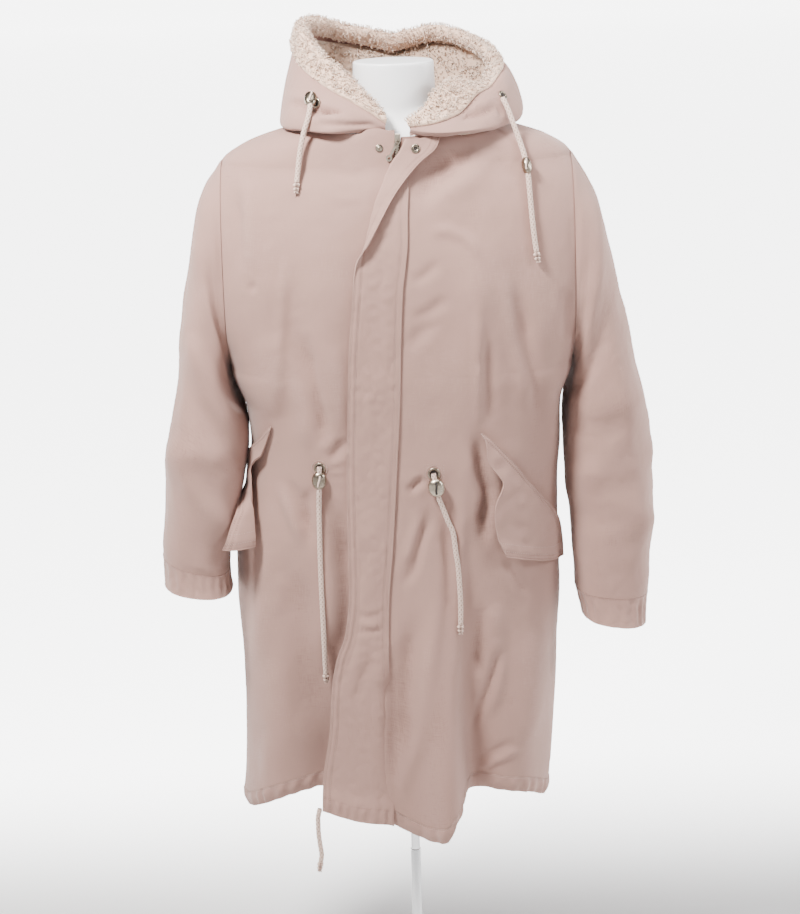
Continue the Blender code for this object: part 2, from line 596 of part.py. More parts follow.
def wall(name, outer, inner, finish, round_=False):
    """A closed wall between two grids of points. round_ joins the last column to the first."""
    rows, columns = outer.shape[:2]
    bm = bmesh.new()
    sheets = [[[bm.verts.new(p) for p in row] for row in sheet] for sheet in (outer, inner)]
    last = columns if round_ else columns - 1
    for sheet in sheets:
        for i in range(rows - 1):
            for j in range(last):
                k = (j + 1) % columns
                bm.faces.new((sheet[i][j], sheet[i][k], sheet[i + 1][k]))
                bm.faces.new((sheet[i][j], sheet[i + 1][k], sheet[i + 1][j]))
    for i in (0, rows - 1):
        for j in range(last):
            k = (j + 1) % columns
            bm.faces.new((sheets[0][i][j], sheets[0][i][k], sheets[1][i][k], sheets[1][i][j]))
    if not round_:
        for j in (0, columns - 1):
            for i in range(rows - 1):
                bm.faces.new((sheets[0][i][j], sheets[0][i + 1][j], sheets[1][i + 1][j], sheets[1][i][j]))
    return from_bmesh(name, bm, finish)


def loft(name, rings, finish):
    """A solid through closed rings of points, with its two ends filled."""
    bm = bmesh.new()
    loops = [[bm.verts.new(p) for p in ring] for ring in rings]
    count = len(loops[0])
    for first, second in zip(loops, loops[1:]):
        for j in range(count):
            k = (j + 1) % count
            bm.faces.new((first[j], first[k], second[k], second[j]))
    bm.faces.new(loops[0])
    bm.faces.new(loops[-1])
    return from_bmesh(name, bm, finish)


def turned(name, profile, finish, steps=24, centre=(0, 0, 0), axis=(0, 0, 1), front=(0, -1, 0), flat=1.0):
    """A profile of (radius, height) rows turned about an axis, and pressed flat from its front."""
    mesh = bpy.data.meshes.new(name)
    count = len(profile)
    ring = profile[0][0] > 0
    edges = [(i, (i + 1) % count) for i in range(count if ring else count - 1)]
    mesh.from_pydata([(radius, 0, height) for radius, height in profile], edges, [])
    made = add_object(name, mesh, finish, flat=True)
    area = sum(r1 * z2 - r2 * z1 for (r1, z1), (r2, z2) in zip(profile, profile[1:] + profile[:1]))
    screw = made.modifiers.new("turn", "SCREW")
    screw.steps = screw.render_steps = steps
    screw.use_merge_vertices = True
    screw.merge_threshold = 0.00001
    screw.use_smooth_shade = False
    screw.use_normal_flip = area > 0
    up = Vector(axis).normalized()
    across = Vector(front).cross(up).normalized()
    made.matrix_world = Matrix((across, up.cross(across), up)).transposed().to_4x4() @ Matrix.Diagonal((1, flat, 1, 1))
    made.location = centre
    return made


def curve_through(points, spacing):
    """Evenly spaced points of a smooth curve through a route."""
    route = np.array(points, float)
    along = np.concatenate([[0], np.cumsum(np.linalg.norm(np.diff(route, axis=0), axis=1))])
    Stop = namedtuple("Stop", "along x y z")
    table = [Stop(s, *p) for s, p in zip(along, route)]
    at = np.linspace(0, along[-1], max(4, round(along[-1] / spacing) + 1))
    return np.stack([smooth(table, k, at) for k in "xyz"], axis=-1)


def cord(name, points, spacing):
    """A drawstring along a route, and its plain end just below."""
    line = curve_through(points, spacing)
    curve = bpy.data.curves.new(name, "CURVE")
    curve.dimensions = "3D"
    curve.bevel_depth = CORD / 2
    curve.bevel_resolution = 2
    curve.use_fill_caps = True
    spline = curve.splines.new("POLY")
    spline.points.add(len(line) - 1)
    for point, place in zip(spline.points, line):
        point.co = (*place, 1)
    curve.materials.append(material("cord"))
    made = bpy.data.objects.new(name, curve)
    parka.objects.link(made)
    ahead = unit(line[-1] - line[-2])
    turned(f"{name}_end", CORD_END, "cord", steps=8, centre=line[-1] + ahead * GAP, axis=ahead)


def facing(name, x, z, radius):
    """Where a disc rests on a node's front at x and z, and its normal there."""
    mesh = bpy.data.objects[name].data
    tree = BVHTree.FromPolygons([v.co for v in mesh.vertices], [p.vertices for p in mesh.polygons])
    place, normal, _, _ = tree.ray_cast(Vector((x, -1, z)), Vector((0, 1, 0)))
    normal = normal if normal.y < 0 else -normal
    across = normal.orthogonal()
    rim = [Matrix.Rotation(math.pi * i / 6, 3, normal) @ across * radius for i in range(12)]
    hits = [tree.ray_cast(place + edge + normal * 0.01, -normal)[0] for edge in rim]
    return place + normal * max(0, *((hit - place).dot(normal) for hit in hits if hit)), normal


def tool(made):
    """Keeps a Boolean's second solid out of the part."""
    parka.objects.unlink(made)
    tools.objects.link(made)
    made.hide_render = True
    made.display_type = "WIRE"


def combined(name, frame, finish, first, added=(), removed=()):
    """A solid in its own frame from one body, others added and others cut away."""
    base = from_bmesh(name, first, finish, flat=True)
    base.matrix_world = frame
    for operation, bodies in (("UNION", added), ("DIFFERENCE", removed)):
        for i, body in enumerate(bodies):
            other = from_bmesh(f"{name}_{operation.lower()}_{i}", body, finish, flat=True)
            other.matrix_world = frame
            tool(other)
            modifier = base.modifiers.new(operation.lower(), "BOOLEAN")
            modifier.operation = operation
            modifier.solver = "EXACT"
            modifier.object = other


def box(low, high, bevel=0.0):
    bm = bmesh.new()
    bmesh.ops.create_cube(bm, size=1)
    low, high = Vector(low), Vector(high)
    for vert in bm.verts:
        vert.co = Vector(high[k] if vert.co[k] > 0 else low[k] for k in range(3))
    if bevel:
        bmesh.ops.bevel(bm, geom=bm.edges[:], offset=bevel, segments=1, affect="EDGES")
    return bm


def rod(axis, radius, half, centre=(0, 0, 0), steps=14):
    """A cylinder along the x or y axis."""
    bm = bmesh.new()
    bmesh.ops.create_cone(bm, cap_ends=True, segments=steps, radius1=radius, radius2=radius, depth=2 * half)
    turn = Matrix.Rotation(math.pi / 2, 3, "Y" if axis == "x" else "X")
    for vert in bm.verts:
        vert.co = turn @ vert.co + Vector(centre)
    return bm


# ---- body of the coat ----
def body_levels():
    low = np.linspace(HEM_Z + CASING + GAP, FLARE_Z, 8)
    waist = (0.83, 0.90, 0.97)
    middle, half = (TIP_Z + ARMPIT_Z) / 2, (TIP_Z - ARMPIT_Z) / 2
    arm = middle - half * np.cos(np.linspace(0, math.pi, 9))
    top = np.linspace(TIP_Z, NECK_Z, 6)[1:]
    return np.concatenate([low, waist, arm, top])


def hem_channel(name, outer, normals, waves, per_wave=3):
    """The hem's double band under a panel's bottom row, drawn in by its cord."""
    columns = (len(outer) - 1) * per_wave + 1
    at = np.linspace(0, len(outer) - 1, columns)
    index = np.arange(len(outer))
    top = np.stack([np.interp(at, index, outer[:, k]) for k in range(3)], axis=-1) - (0, 0, 2 * GAP)
    normal = unit(np.stack([np.interp(at, index, normals[:, k]) for k in range(3)], axis=-1) * (1, 1, 0))
    gather = np.cos(2 * math.pi * waves * at / at[-1])[:, None]
    middle = top - (0, 0, CASING * 0.45) + normal * (0.0012 + 0.0016 * gather)
    bottom = top - (0, 0, CASING) + normal * (-0.004 + 0.0022 * gather)
    rows = np.array([top, middle, bottom])
    wall(name, rows, rows - normal * (CLOTH + 0.0005), "cotton")


def make_body():
    levels = body_levels()
    deep = (0, 0.1, 0.18, 0.235, 0.275, 0.315, 0.355, 0.40, 0.46, 0.56, 0.69, 0.84, 1)  # closer in its deep fold
    for part, shares, waves in (
        ("front_right", np.linspace(0, 1, 10), 8),
        ("front_left", deep, 10),
        ("back", np.linspace(0, 1, 16), 16),
    ):
        outer, normals = cloth_grid(part, levels, shares)
        wall(part, outer, outer - normals * CLOTH, "cotton")
        hem_channel(part.replace("front", "hem_channel_front") if part != "back" else "hem_channel_back",
                    outer[0], normals[0], waves)


def flap_path(z, columns):
    """The storm flap's section at height z: how far it goes from its seam, its height off the front, its normal."""
    width = float(smooth(FLY, "width", z))
    turn_at = float(smooth(FLY, "turn_at", z))
    turn = math.radians(float(smooth(FLY, "turn_deg", z)))
    roll = 0.0045
    s = np.linspace(0, width, 401)
    heading = turn * ease((s - turn_at) / max(roll * turn, 0.004)) + 0.03
    step = s[1]
    away = np.concatenate([[0], np.cumsum(np.cos(heading[:-1]) * step)])
    clear = LAY + 0.004 * ease((HEM_Z + 0.05 - z) / 0.03)
    height = clear + np.concatenate([[0], np.cumsum(np.sin(heading[:-1]) * step)])
    bend = np.cumsum(np.abs(np.gradient(heading)) * 0.008 + step)
    at = np.interp(np.linspace(bend[0], bend[-1], columns), bend, s)
    pick = [np.interp(at, s, values) for values in (away, height, heading)]
    return np.stack(pick, axis=-1)


def make_zip():
    """The tape behind the fronts' edges, the closed chain between them, and the slider with its pull tab."""
    levels = [z for z in body_levels() if ZIP_LOW < z < ZIP_TOP]
    for name, half, finish, lift, levels_used in (
        ("zip_tape", 0.014, "cotton", -(CLOTH + 3 * GAP), levels),
        ("zip_chain", 0.0025, "old_brass", 0.0002, levels[:-1]),
    ):
        def edges(part, level, half=half):
            zip_x = float(smooth(FLY, "zip_x", level))
            return zip_x - half, zip_x + half

        rows, normals = cloth_grid("front_left", levels_used, (0, 0.5, 1), edges)
        outer = rows + normals * lift
        wall(name, outer, outer - normals * (0.001 if finish == "cotton" else CLOTH + 2 * GAP), finish)

    middle = cloth_at("front_left", float(smooth(FLY, "zip_x", SLIDER_Z)), SLIDER_Z)[0]
    body_back = 0.0002 + 2 * GAP
    pivot = Vector((middle[0] - 0.0025, middle[1] - 0.0057, SLIDER_Z - 0.010))
    lean = math.radians(PULL_LEAN)
    leaned = Matrix.Translation(pivot) @ Matrix.Rotation(lean, 4, "Y")
    body = box((-0.004, -0.0035, -0.0055), (0.004, -body_back, 0.0055), 0.001)
    bmesh.ops.translate(body, verts=body.verts[:], vec=Vector(middle))
    bmesh.ops.transform(body, matrix=leaned.inverted(), verts=body.verts[:])
    lugs = [box((x - 0.0005, -0.0012, -0.0012), (x + 0.0005, 0.0031, 0.0080)) for x in (-0.0023, 0.0023)]
    combined("zip_slider", leaned, "old_brass", body, [*lugs, rod("x", 0.0008, 0.0027)])
    combined(
        "zip_pull", leaned, "old_brass", rod("x", 0.0019, 0.0015),
        [box((-0.0015, -0.00075, -0.0165), (0.0015, 0.00075, -0.0012)), rod("y", 0.0042, 0.00075, (0, 0, -0.019))],
        [rod("x", 0.0011, 0.004), rod("y", 0.0021, 0.004, (0, 0, -0.019))],
    )


def make_metals():
    place, normal = facing("front_right", -0.0221, 1.3442, 0.005)
    turned("snap_stud", [(0, 0.0028), (0.0016, 0.0028), (0.0022, 0.0014), (0.0044, 0.0012), (0.0050, 0), (0, 0)],
           "old_brass", steps=12, centre=place + normal * GAP, axis=normal)
    for name, metal in METALS.items():
        place, normal = facing(metal.carrier, metal.x, metal.z, metal.radius)
        rim = (metal.radius + metal.hole) / 2
        profile = [(metal.hole, 0), (metal.radius, 0), (rim, metal.height), (metal.hole, metal.height * 0.7)]
        turned(name, profile, "old_brass", steps=14, centre=place + normal * GAP, axis=normal)


def make_cords():
    for name, points in CORDS.items():
        cord(name, points, 0.015)
    for name, stopper in STOPPERS.items():
        points = np.array(CORDS[stopper.cord])
        ahead = unit(points[stopper.point + 1] - points[stopper.point - 1])
        half, top, flat = stopper.width / 2, stopper.height / 2, stopper.depth / stopper.width
        bore = (CORD / 2 + 3 * GAP) / min(1, flat)
        shoulder = max(half * 0.76, bore + GAP)
        profile = [(bore, -top), (shoulder, -top * 0.9), (half, -top * 0.3), (half, top * 0.3),
                   (shoulder, top * 0.9), (bore, top)]
        turned(name, profile, "old_brass", steps=12, centre=points[stopper.point], axis=-ahead, flat=flat)


def make_pocket_flaps(columns=5):
    """Each flap is sewn along its slanting seam and stands out from the front at its free edge."""
    share = np.linspace(0, 1, columns)
    for side, rows in POCKETS.items():
        under = []
        for row in rows:
            line = []
            for t in share:
                x, z = row.free_x + (row.seam_x - row.free_x) * t, row.free_z + (row.seam_z - row.free_z) * t
                place, _ = cloth_at(f"front_{side}", x, z, row.free_out + (row.seam_out - row.free_out) * t)
                line.append(place - (0, row.seam_forward * t, 0))
            under.append(line)
        under = np.array(under)
        normal = unit(np.cross(np.gradient(under, axis=0), np.gradient(under, axis=1)))
        normal *= -np.sign(normal[..., 1:2])
        wall(f"pocket_flap_{side}", under + normal * (CLOTH + 0.0005), under, "cotton")


def make_storm_flap(columns=12):
    levels = np.concatenate([[HEM_Z], body_levels()[:-1], [NECK_Z - 0.005]])
    under, over = [], []
    for level in levels:
        row = outline(level, "front_left")
        sewn = float(smooth(FLY, "sewn_x", level))
        path = flap_path(level, columns)
        x = sewn - path[:, 0]
        y = np.interp(x, row[:, 0], row[:, 1])
        z = np.interp(x, row[:, 0], row[:, 2])
        low = np.stack([x, y - path[:, 1], z], axis=-1)
        normal = np.stack([np.sin(path[:, 2]), -np.cos(path[:, 2]), np.zeros(columns)], axis=-1)
        under.append(low)
        over.append(low + normal * CLOTH)
    wall("storm_flap", np.array(over), np.array(under), "cotton")


# ---- sleeves ----
def sleeve_point(side, step, angle):
    """A sleeve's surface: angle 90 is its outer line, 180 in front, 270 its inner line."""
    table = SLEEVES[side]
    sign = SLEEVE_SIDE[side]
    outer = np.stack([smooth(table, "outer_x", step), smooth(table, "outer_z", step)])
    inner = np.stack([smooth(table, "inner_x", step), smooth(table, "inner_z", step)])
    rise = power(np.sin(np.radians(angle)), 2 / ROUND)
    centre, axis = (outer + inner) / 2, (outer - inner) / 2
    taper = 1 - ARMHOLE_TAPER * rise * np.clip(1 - step / 4, 0, 1)
    y = smooth(table, "y", step) + smooth(table, "half", step) * power(np.cos(np.radians(angle)), 2 / ROUND) * taper
    x, z = centre + axis * rise
    return np.stack([sign * x, y, z], axis=-1)


def sleeve_grid(side, steps, angles):
    step, angle = np.meshgrid(steps, angles, indexing="ij")
    here = sleeve_point(side, step, angle)
    last = SLEEVES[side][-1].step
    ahead = sleeve_point(side, np.minimum(step + 0.05, last), angle)
    behind = sleeve_point(side, np.maximum(step - 0.05, 0), angle)
    turn = sleeve_point(side, step, angle + 1) - sleeve_point(side, step, angle - 1)
    normal = unit(np.cross(turn, ahead - behind)) * -SLEEVE_SIDE[side]
    normal[0] = unit(normal[0] * (0, 1, 1))
    push = np.zeros_like(step)
    for crease in CREASES:
        if crease.side == side:
            away = (angle - crease.angle + 180) % 360 - 180
            across = (step - crease.step - crease.lean * away) / crease.width
            push += crease.push * np.exp(-(across**2) - (away / crease.spread) ** 2)
    push *= ease(step / 1.5) * ease((last - step) / 1.0)
    return here + normal * push[..., None], normal


def make_sleeves(columns=16):
    angles = np.arange(columns) * 360 / columns
    for side, sign in SLEEVE_SIDE.items():
        last = SLEEVES[side][-1].step
        outer, normals = sleeve_grid(side, np.linspace(0, last, 17), angles)
        wall(f"sleeve_{side}", outer, outer - normals * CLOTH, "cotton", round_=True)
        make_cuff(side, sign, outer[-1], normals[-1])


def make_cuff(side, sign, ring, normals, per_side=2, waves=8):
    """The gathered band below a sleeve's last ring."""
    outer_dx, outer_dz, inner_dx, inner_dz = CUFF_DROP[side]
    columns = len(ring) * per_side
    at = np.arange(columns) / per_side
    index = np.arange(len(ring) + 1)
    wrap = [np.concatenate([values, values[:1]]) for values in (ring, normals)]
    top, normal = (np.stack([np.interp(at, index, w[:, k]) for k in range(3)], axis=-1) for w in wrap)
    normal = unit(normal)
    outwards = (top[:, 0] * sign - min(top[:, 0] * sign)) / np.ptp(top[:, 0])
    drop = np.stack([
        sign * (inner_dx + (outer_dx - inner_dx) * outwards),
        np.full(columns, -0.004),
        inner_dz + (outer_dz - inner_dz) * outwards,
    ], axis=-1)
    gather = np.cos(2 * math.pi * waves * at / len(ring))[:, None]
    start = top + unit(drop) * GAP
    middle = start + drop * 0.5 + normal * (0.0015 + 0.0014 * gather)
    bottom = start + drop + normal * (-0.001 + 0.0018 * gather)
    rows = np.array([start, middle, bottom])
    wall(f"cuff_{side}", rows, rows - normal * (CLOTH + 0.0005), "cotton", round_=True)


# ---- hood ----
def coat_ring(level, angle):
    """Radius and height of the coat's row at some angles from the front."""
    points = np.concatenate([outline(level, "front_left"), outline(level, "back")[::-1]])
    bearing = np.degrees(np.arctan2(points[:, 0], -points[:, 1]))
    order = np.argsort(bearing)
    bearing, points = bearing[order], points[order]
    radius = np.interp(angle, bearing, np.hypot(points[:, 0], points[:, 1]))
    return radius, np.interp(angle, bearing, points[:, 2])


def shoulder_height(angles, radius):
    """The height of the coat under each of a grid's points, a row for each angle."""
    rings = [coat_ring(level, angles) for level in np.linspace(NECK_Z, TIP_Z - 0.06, 14)]
    wide, tall = (np.array([ring[k] for ring in rings]) for k in (0, 1))
    return np.array([np.interp(radius[i], wide[:, i], tall[:, i]) for i in range(len(angles))])


def neck_seam(side, angles):
    """Radius and height that the hood starts at: behind the right front's free corner, on the seam elsewhere."""
    radius, height = coat_ring(NECK_Z, angles)
    behind = ease((angles + 44) / 10) * 0.007 if side == "right" else 0.0
    return radius - behind, height


def along_stops(stops, at):
    """A rounded path through stops at 0, 1, 2 ..., each with a value for every angle."""
    stops = np.array(stops)
    slopes = np.gradient(stops, axis=0)
    i = np.clip(np.floor(at).astype(int), 0, len(stops) - 2)
    t = (at - i)[None]
    near = stops[i].T * (1 + 2 * t) + slopes[i].T * t
    far = stops[i + 1].T * (3 - 2 * t) + slopes[i + 1].T * (t - 1)
    return near * (1 - t) ** 2 + far * t**2


def around(angles, radius, height):
    turn = np.radians(angles)[:, None]
    return np.stack([radius * np.sin(turn), -radius * np.cos(turn), height], axis=-1)


def hood_profile(side, angles, rows):
    """The hood shell's outer face: row 0 is the neck seam, 1 low, 2 out, 3 the fur's edge, 4 the rim."""
    radius, height = neck_seam(side, angles)
    names = ("low", "out", "edge", "rim")
    r = along_stops([radius] + [smooth(HOOD[side], f"{name}_r", angles) for name in names], rows)
    z = along_stops([height + GAP] + [smooth(HOOD[side], f"{name}_z", angles) for name in names], rows)
    rest = shoulder_height(angles, r) + HOOD_LIFT
    return r, np.where(rows[None] < 2.2, np.maximum(z, rest), z)


def hood_grid(side, angles, rows):
    """Points, outward normals and upward directions of the hood shell."""
    rows = np.array(rows)
    here = around(angles, *hood_profile(side, angles, rows))
    above = around(angles, *hood_profile(side, angles, np.minimum(rows + 0.04, 4)))
    below = around(angles, *hood_profile(side, angles, np.maximum(rows - 0.04, 0)))
    up = unit(above - below)
    low, high = HOOD[side][0].angle, HOOD[side][-1].angle
    after = around(np.minimum(angles + 1, high), *hood_profile(side, np.minimum(angles + 1, high), rows))
    before = around(np.maximum(angles - 1, low), *hood_profile(side, np.maximum(angles - 1, low), rows))
    normal = unit(np.cross(unit(after - before), up))
    seam = 0 if side == "right" else -1
    normal[seam] = unit(normal[seam] * (0, 1, 1))
    return here, normal, up


def hood_angles(side, count):
    seam = math.degrees(GAP / 0.2)
    low, high = HOOD[side][0].angle, HOOD[side][-1].angle
    return np.linspace(low + (seam if side == "right" else 0), high - (seam if side == "left" else 0), count)


def make_hood():
    for side in ("right", "left"):
        angles = hood_angles(side, 15)
        outer, normals, _ = hood_grid(side, angles, HOOD_ROWS)
        wall(f"hood_shell_{side}", outer, outer - normals * CLOTH, "cotton")
        make_hood_trim(side, angles)
        make_hood_lining(side, angles)


def make_hood_trim(side, angles):
    """The turned-out fur band: a thick wall round the shell's rim."""
    here, normal, up = hood_grid(side, angles, TRIM_ROWS)
    depth = (0.5, 0.9, 1.0, 1.0)
    inner = [here[:, k] + normal[:, k] * GAP for k in range(4)]
    outer = [here[:, k] + normal[:, k] * (GAP + FUR * depth[k]) for k in range(4)]
    rim, ahead, away = here[:, 3], up[:, 3], normal[:, 3]
    for lean, base in ((1, rim), (0, rim - away * CLOTH / 2), (-1, rim - away * CLOTH)):
        way = unit(away * lean + ahead)
        inner.append(base + way * GAP)
        outer.append(base + way * (GAP + FUR))
    pressed = smooth(LININGS[side], "depth", angles)[:, None]
    for k in (3, 2, 1):
        inner.append(here[:, k] - normal[:, k] * (CLOTH + FUR_LIFT))
        outer.append(inner[-1] - normal[:, k] * pressed)
    wall(f"hood_trim_{side}", np.array(outer), np.array(inner), "teddy_fur")


def make_hood_lining(side, angles, rows=7):
    """The fur inside the hood, from the neck seam up to the trim's inner edge."""
    angles = np.clip(angles, LININGS[side][0].angle, LININGS[side][-1].angle)
    angles = np.linspace(angles[0], angles[-1], len(angles))
    rows_up = np.linspace(2.5, 3.35, 8)
    reach = smooth(LININGS[side], "row", angles)
    share = np.array([[np.interp(at, rows_up, unit_row) for unit_row in np.eye(8)] for at in reach])
    here, normal, up = (np.einsum("ar,ark->ak", share, grid) for grid in hood_grid(side, angles, rows_up))
    top = here - normal * (CLOTH + FUR_LIFT) - up * 4 * GAP
    start, normal_low, _ = (grid[:, 0] for grid in hood_grid(side, angles, [0.3]))
    foot = start - normal_low * (CLOTH + FUR_LIFT)
    radius, height = np.hypot(foot[:, 0], foot[:, 1]), foot[:, 2]
    top_r = np.hypot(top[:, 0], top[:, 1])
    rise, run = top[:, 2] - height, top_r - radius
    bulge = 0.25 * np.clip(np.hypot(rise, run) / 0.05 - 0.6, 0, 1)
    middle_r, middle_z = radius + run / 2 + rise * bulge, height + rise / 2 - run * bulge
    at = np.linspace(0, 2, rows)
    face = around(
        angles,
        along_stops([radius, middle_r, top_r], at),
        along_stops([height, middle_z, top[:, 2]], at),
    )
    inwards = -unit(np.cross(unit(np.gradient(face, axis=0)), unit(np.gradient(face, axis=1))))
    inwards[:, 0] = -normal_low
    inwards[:, -1] = -normal
    seam = 0 if side == "right" else -1
    inwards[seam] = unit(inwards[seam] * (0, 1, 1))
    depth = smooth(LININGS[side], "depth", angles)[:, None, None]
    wall(f"hood_lining_{side}", face, face + inwards * depth, "teddy_fur")


# ---- dress form and stand ----
def make_form(columns=18):
    heights = np.concatenate([np.linspace(0.80, 1.30, 11), np.linspace(1.325, 1.378, 8), (1.392, 1.410, 1.450)])
    angle = np.arange(columns) * 2 * math.pi / columns
    loops = []
    for z in heights:
        exponent = 2 / ROUND if z < 1.38 else 1.0
        half = float(smooth(FORM, "half_width", z))
        depth = np.where(np.cos(angle) > 0, smooth(FORM, "front", z), smooth(FORM, "back", z))
        x = half * power(np.sin(angle), exponent)
        y = -depth * power(np.cos(angle), exponent)
        loops.append(np.stack([x, y, np.full(columns, z)], axis=-1))
    loft("dress_form", loops, "form_skin")


def make_stand():
    turned("stand_base", [(0, 0.012), (0.030, 0.012), (0.150, 0.008), (0.168, 0.004), (0.170, 0.0), (0, 0.0)],
           "base_metal", steps=40)
    turned("stand_pole", [(0, 0.7997), (0.040, 0.7997), (0.040, 0.7957), (0.0065, 0.7937), (0.0065, 0.2740),
                          (0.0082, 0.2725), (0.0082, 0.0220), (0.0160, 0.0123),
                          (0, 0.0123)], "stand_metal", steps=20)


# ---- scene ----
for old in list(bpy.data.objects):
    bpy.data.objects.remove(old)
parka = bpy.data.collections.new("fur_trimmed_parka")
bpy.context.scene.collection.children.link(parka)
tools = bpy.data.collections.new("tools")
bpy.context.scene.collection.children.link(tools)

make_body()
make_storm_flap()
make_sleeves()
make_hood()
make_pocket_flaps()
make_zip()
make_metals()
make_cords()
make_form()
make_stand()
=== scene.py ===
import math

import bmesh
import bpy
import numpy as np
from mathutils import Matrix, Vector
from mathutils.bvhtree import BVHTree


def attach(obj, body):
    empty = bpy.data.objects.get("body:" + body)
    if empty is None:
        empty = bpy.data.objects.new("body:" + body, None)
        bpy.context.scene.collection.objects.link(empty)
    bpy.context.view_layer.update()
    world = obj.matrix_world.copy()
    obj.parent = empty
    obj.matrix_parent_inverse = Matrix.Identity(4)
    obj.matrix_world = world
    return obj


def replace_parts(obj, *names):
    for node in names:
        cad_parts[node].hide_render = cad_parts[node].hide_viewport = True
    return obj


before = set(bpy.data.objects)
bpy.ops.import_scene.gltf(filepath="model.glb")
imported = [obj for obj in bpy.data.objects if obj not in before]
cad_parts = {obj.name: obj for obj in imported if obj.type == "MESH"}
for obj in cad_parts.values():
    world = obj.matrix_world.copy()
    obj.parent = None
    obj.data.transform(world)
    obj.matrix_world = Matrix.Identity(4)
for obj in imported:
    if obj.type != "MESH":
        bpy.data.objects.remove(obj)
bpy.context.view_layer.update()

view = {"spot": (-0.00644, -2.9, 1.7037), "tiltDown": 15.7, "roll": 1.674, "lens": 82.72, "sensor": 36}
studio = {
    "lamps": {  # place, aim, size, watts, colour
        "key": ((-0.85, -0.95, 2.72), (0, 0, 1.2), 0.45, 150, (1.0, 0.985, 0.965)),
        "fill": ((2.3, -0.9, 2.2), (0, 0, 1.15), 0.8, 46, (0.98, 0.98, 1.0)),
        "top": ((0.3, -0.3, 3.1), (0, 0, 1.2), 1.2, 30, (1.0, 0.99, 0.98)),
        "rim": ((2.2, 0.5, 1.7), (0, 0, 1.1), 1.0, 34, (1.0, 1.0, 1.0)),
    },
    "sky": 0.07,
    "backdropGlow": 5.4,
    "farGlow": 0.2,
    "floorColour": (0.90, 0.90, 0.90),
    "floorRings": (0.4, 1, 2, 4, 8, 14, 22),
    "floorCurve": 5,
}


def link(name, data):
    made = bpy.data.objects.new(name, data)
    bpy.context.scene.collection.objects.link(made)
    return made


def setStage():
    print("stage: camera, lights and floor")
    camera = link("camera", bpy.data.cameras.new("camera"))
    camera.data.lens, camera.data.sensor_width = view["lens"], view["sensor"]
    camera.data.sensor_fit = "AUTO"
    tilt = Matrix.Rotation(math.radians(90 - view["tiltDown"]), 4, "X")
    roll = Matrix.Rotation(-math.radians(view["roll"]), 4, "Z")
    camera.matrix_world = Matrix.Translation(view["spot"]) @ tilt @ roll
    bpy.context.scene.camera = camera
    for name, (place, aim, size, watts, colour) in studio["lamps"].items():
        lamp = bpy.data.lights.new(name, "AREA")
        lamp.shape, lamp.size, lamp.energy, lamp.color = "DISK", size, watts, colour
        made = link(name, lamp)
        made.location = place
        made.rotation_euler = (Vector(aim) - Vector(place)).to_track_quat("-Z", "Y").to_euler()
    sky = bpy.data.worlds.new("sky")
    bpy.context.scene.world = sky
    sky.use_nodes = True
    sky.node_tree.nodes["Background"].inputs["Color"].default_value = (1, 1, 1, 1)
    sky.node_tree.nodes["Background"].inputs["Strength"].default_value = studio["sky"]
    # a round floor that curves up at its far edge
    sides, rings, curve = 64, studio["floorRings"], studio["floorCurve"]
    profile = [(r, 0.0) for r in rings] + [
        (rings[-1] + curve * math.sin(a), curve - curve * math.cos(a))
        for a in np.linspace(0.1, math.pi / 2, 12)]
    turns = np.linspace(0, 2 * math.pi, sides, endpoint=False)
    points = [(r * math.cos(t), r * math.sin(t), z) for r, z in profile for t in turns]
    faces = [tuple(range(sides))] + [face[::-1] for face in ringFaces(len(profile), sides, caps=False)]
    mesh = bpy.data.meshes.new("floor")
    mesh.from_pydata(points, [], faces)
    mesh.shade_smooth()
    paper = studio["floorColour"]
    plain = Finish("floorPaper", paper, roughness=0.9)
    grain = plain.node("ShaderNodeTexNoise", {}, {"Scale": 1.4, "Detail": 3.0}, "Fac")
    plain.feed("Base Color", plain.blend(grain, paper, [c * 0.985 for c in paper]))
    # it glows behind the coat and far off, which keeps the backdrop white
    spot = plain.node("ShaderNodeTexCoord", {}, {}, "Object")
    fromY = plain.node("ShaderNodeSeparateXYZ", {}, {0: spot}, "Y")
    fromMiddle = plain.node("ShaderNodeVectorMath", {"operation": "LENGTH"}, {0: spot}, "Value")
    behind, away = (
        plain.node("ShaderNodeMapRange", {"interpolation_type": "SMOOTHSTEP"}, {
            "Value": value, "From Min": low, "From Max": high, "To Max": glow})
        for value, low, high, glow in ((fromY, 0.25, 1.0, 1.0), (fromMiddle, 1.4, 4.5, studio["farGlow"])))
    glow = plain.node("ShaderNodeMath", {"operation": "MAXIMUM"}, {0: behind, 1: away})
    plain.feed("Emission Color", plain.blend(glow, (0, 0, 0), (1, 1, 1)))
    plain.shader.inputs["Emission Strength"].default_value = studio["backdropGlow"]
    mesh.materials.append(plain.material)
    link("floor", mesh)


class Wire:  # an output socket that can stand in a sum
    def __init__(self, finish, socket):
        self.finish, self.socket = finish, socket

    def sum(self, operation, first, second):
        return self.finish.node("ShaderNodeMath", {"operation": operation}, {0: first, 1: second})

    def __add__(self, other):
        return self.sum("ADD", self, other)

    def __radd__(self, other):
        return self.sum("ADD", other, self)

    def __sub__(self, other):
        return self.sum("SUBTRACT", self, other)

    def __rsub__(self, other):
        return self.sum("SUBTRACT", other, self)

    def __mul__(self, other):
        return self.sum("MULTIPLY", self, other)

    def __rmul__(self, other):
        return self.sum("MULTIPLY", other, self)


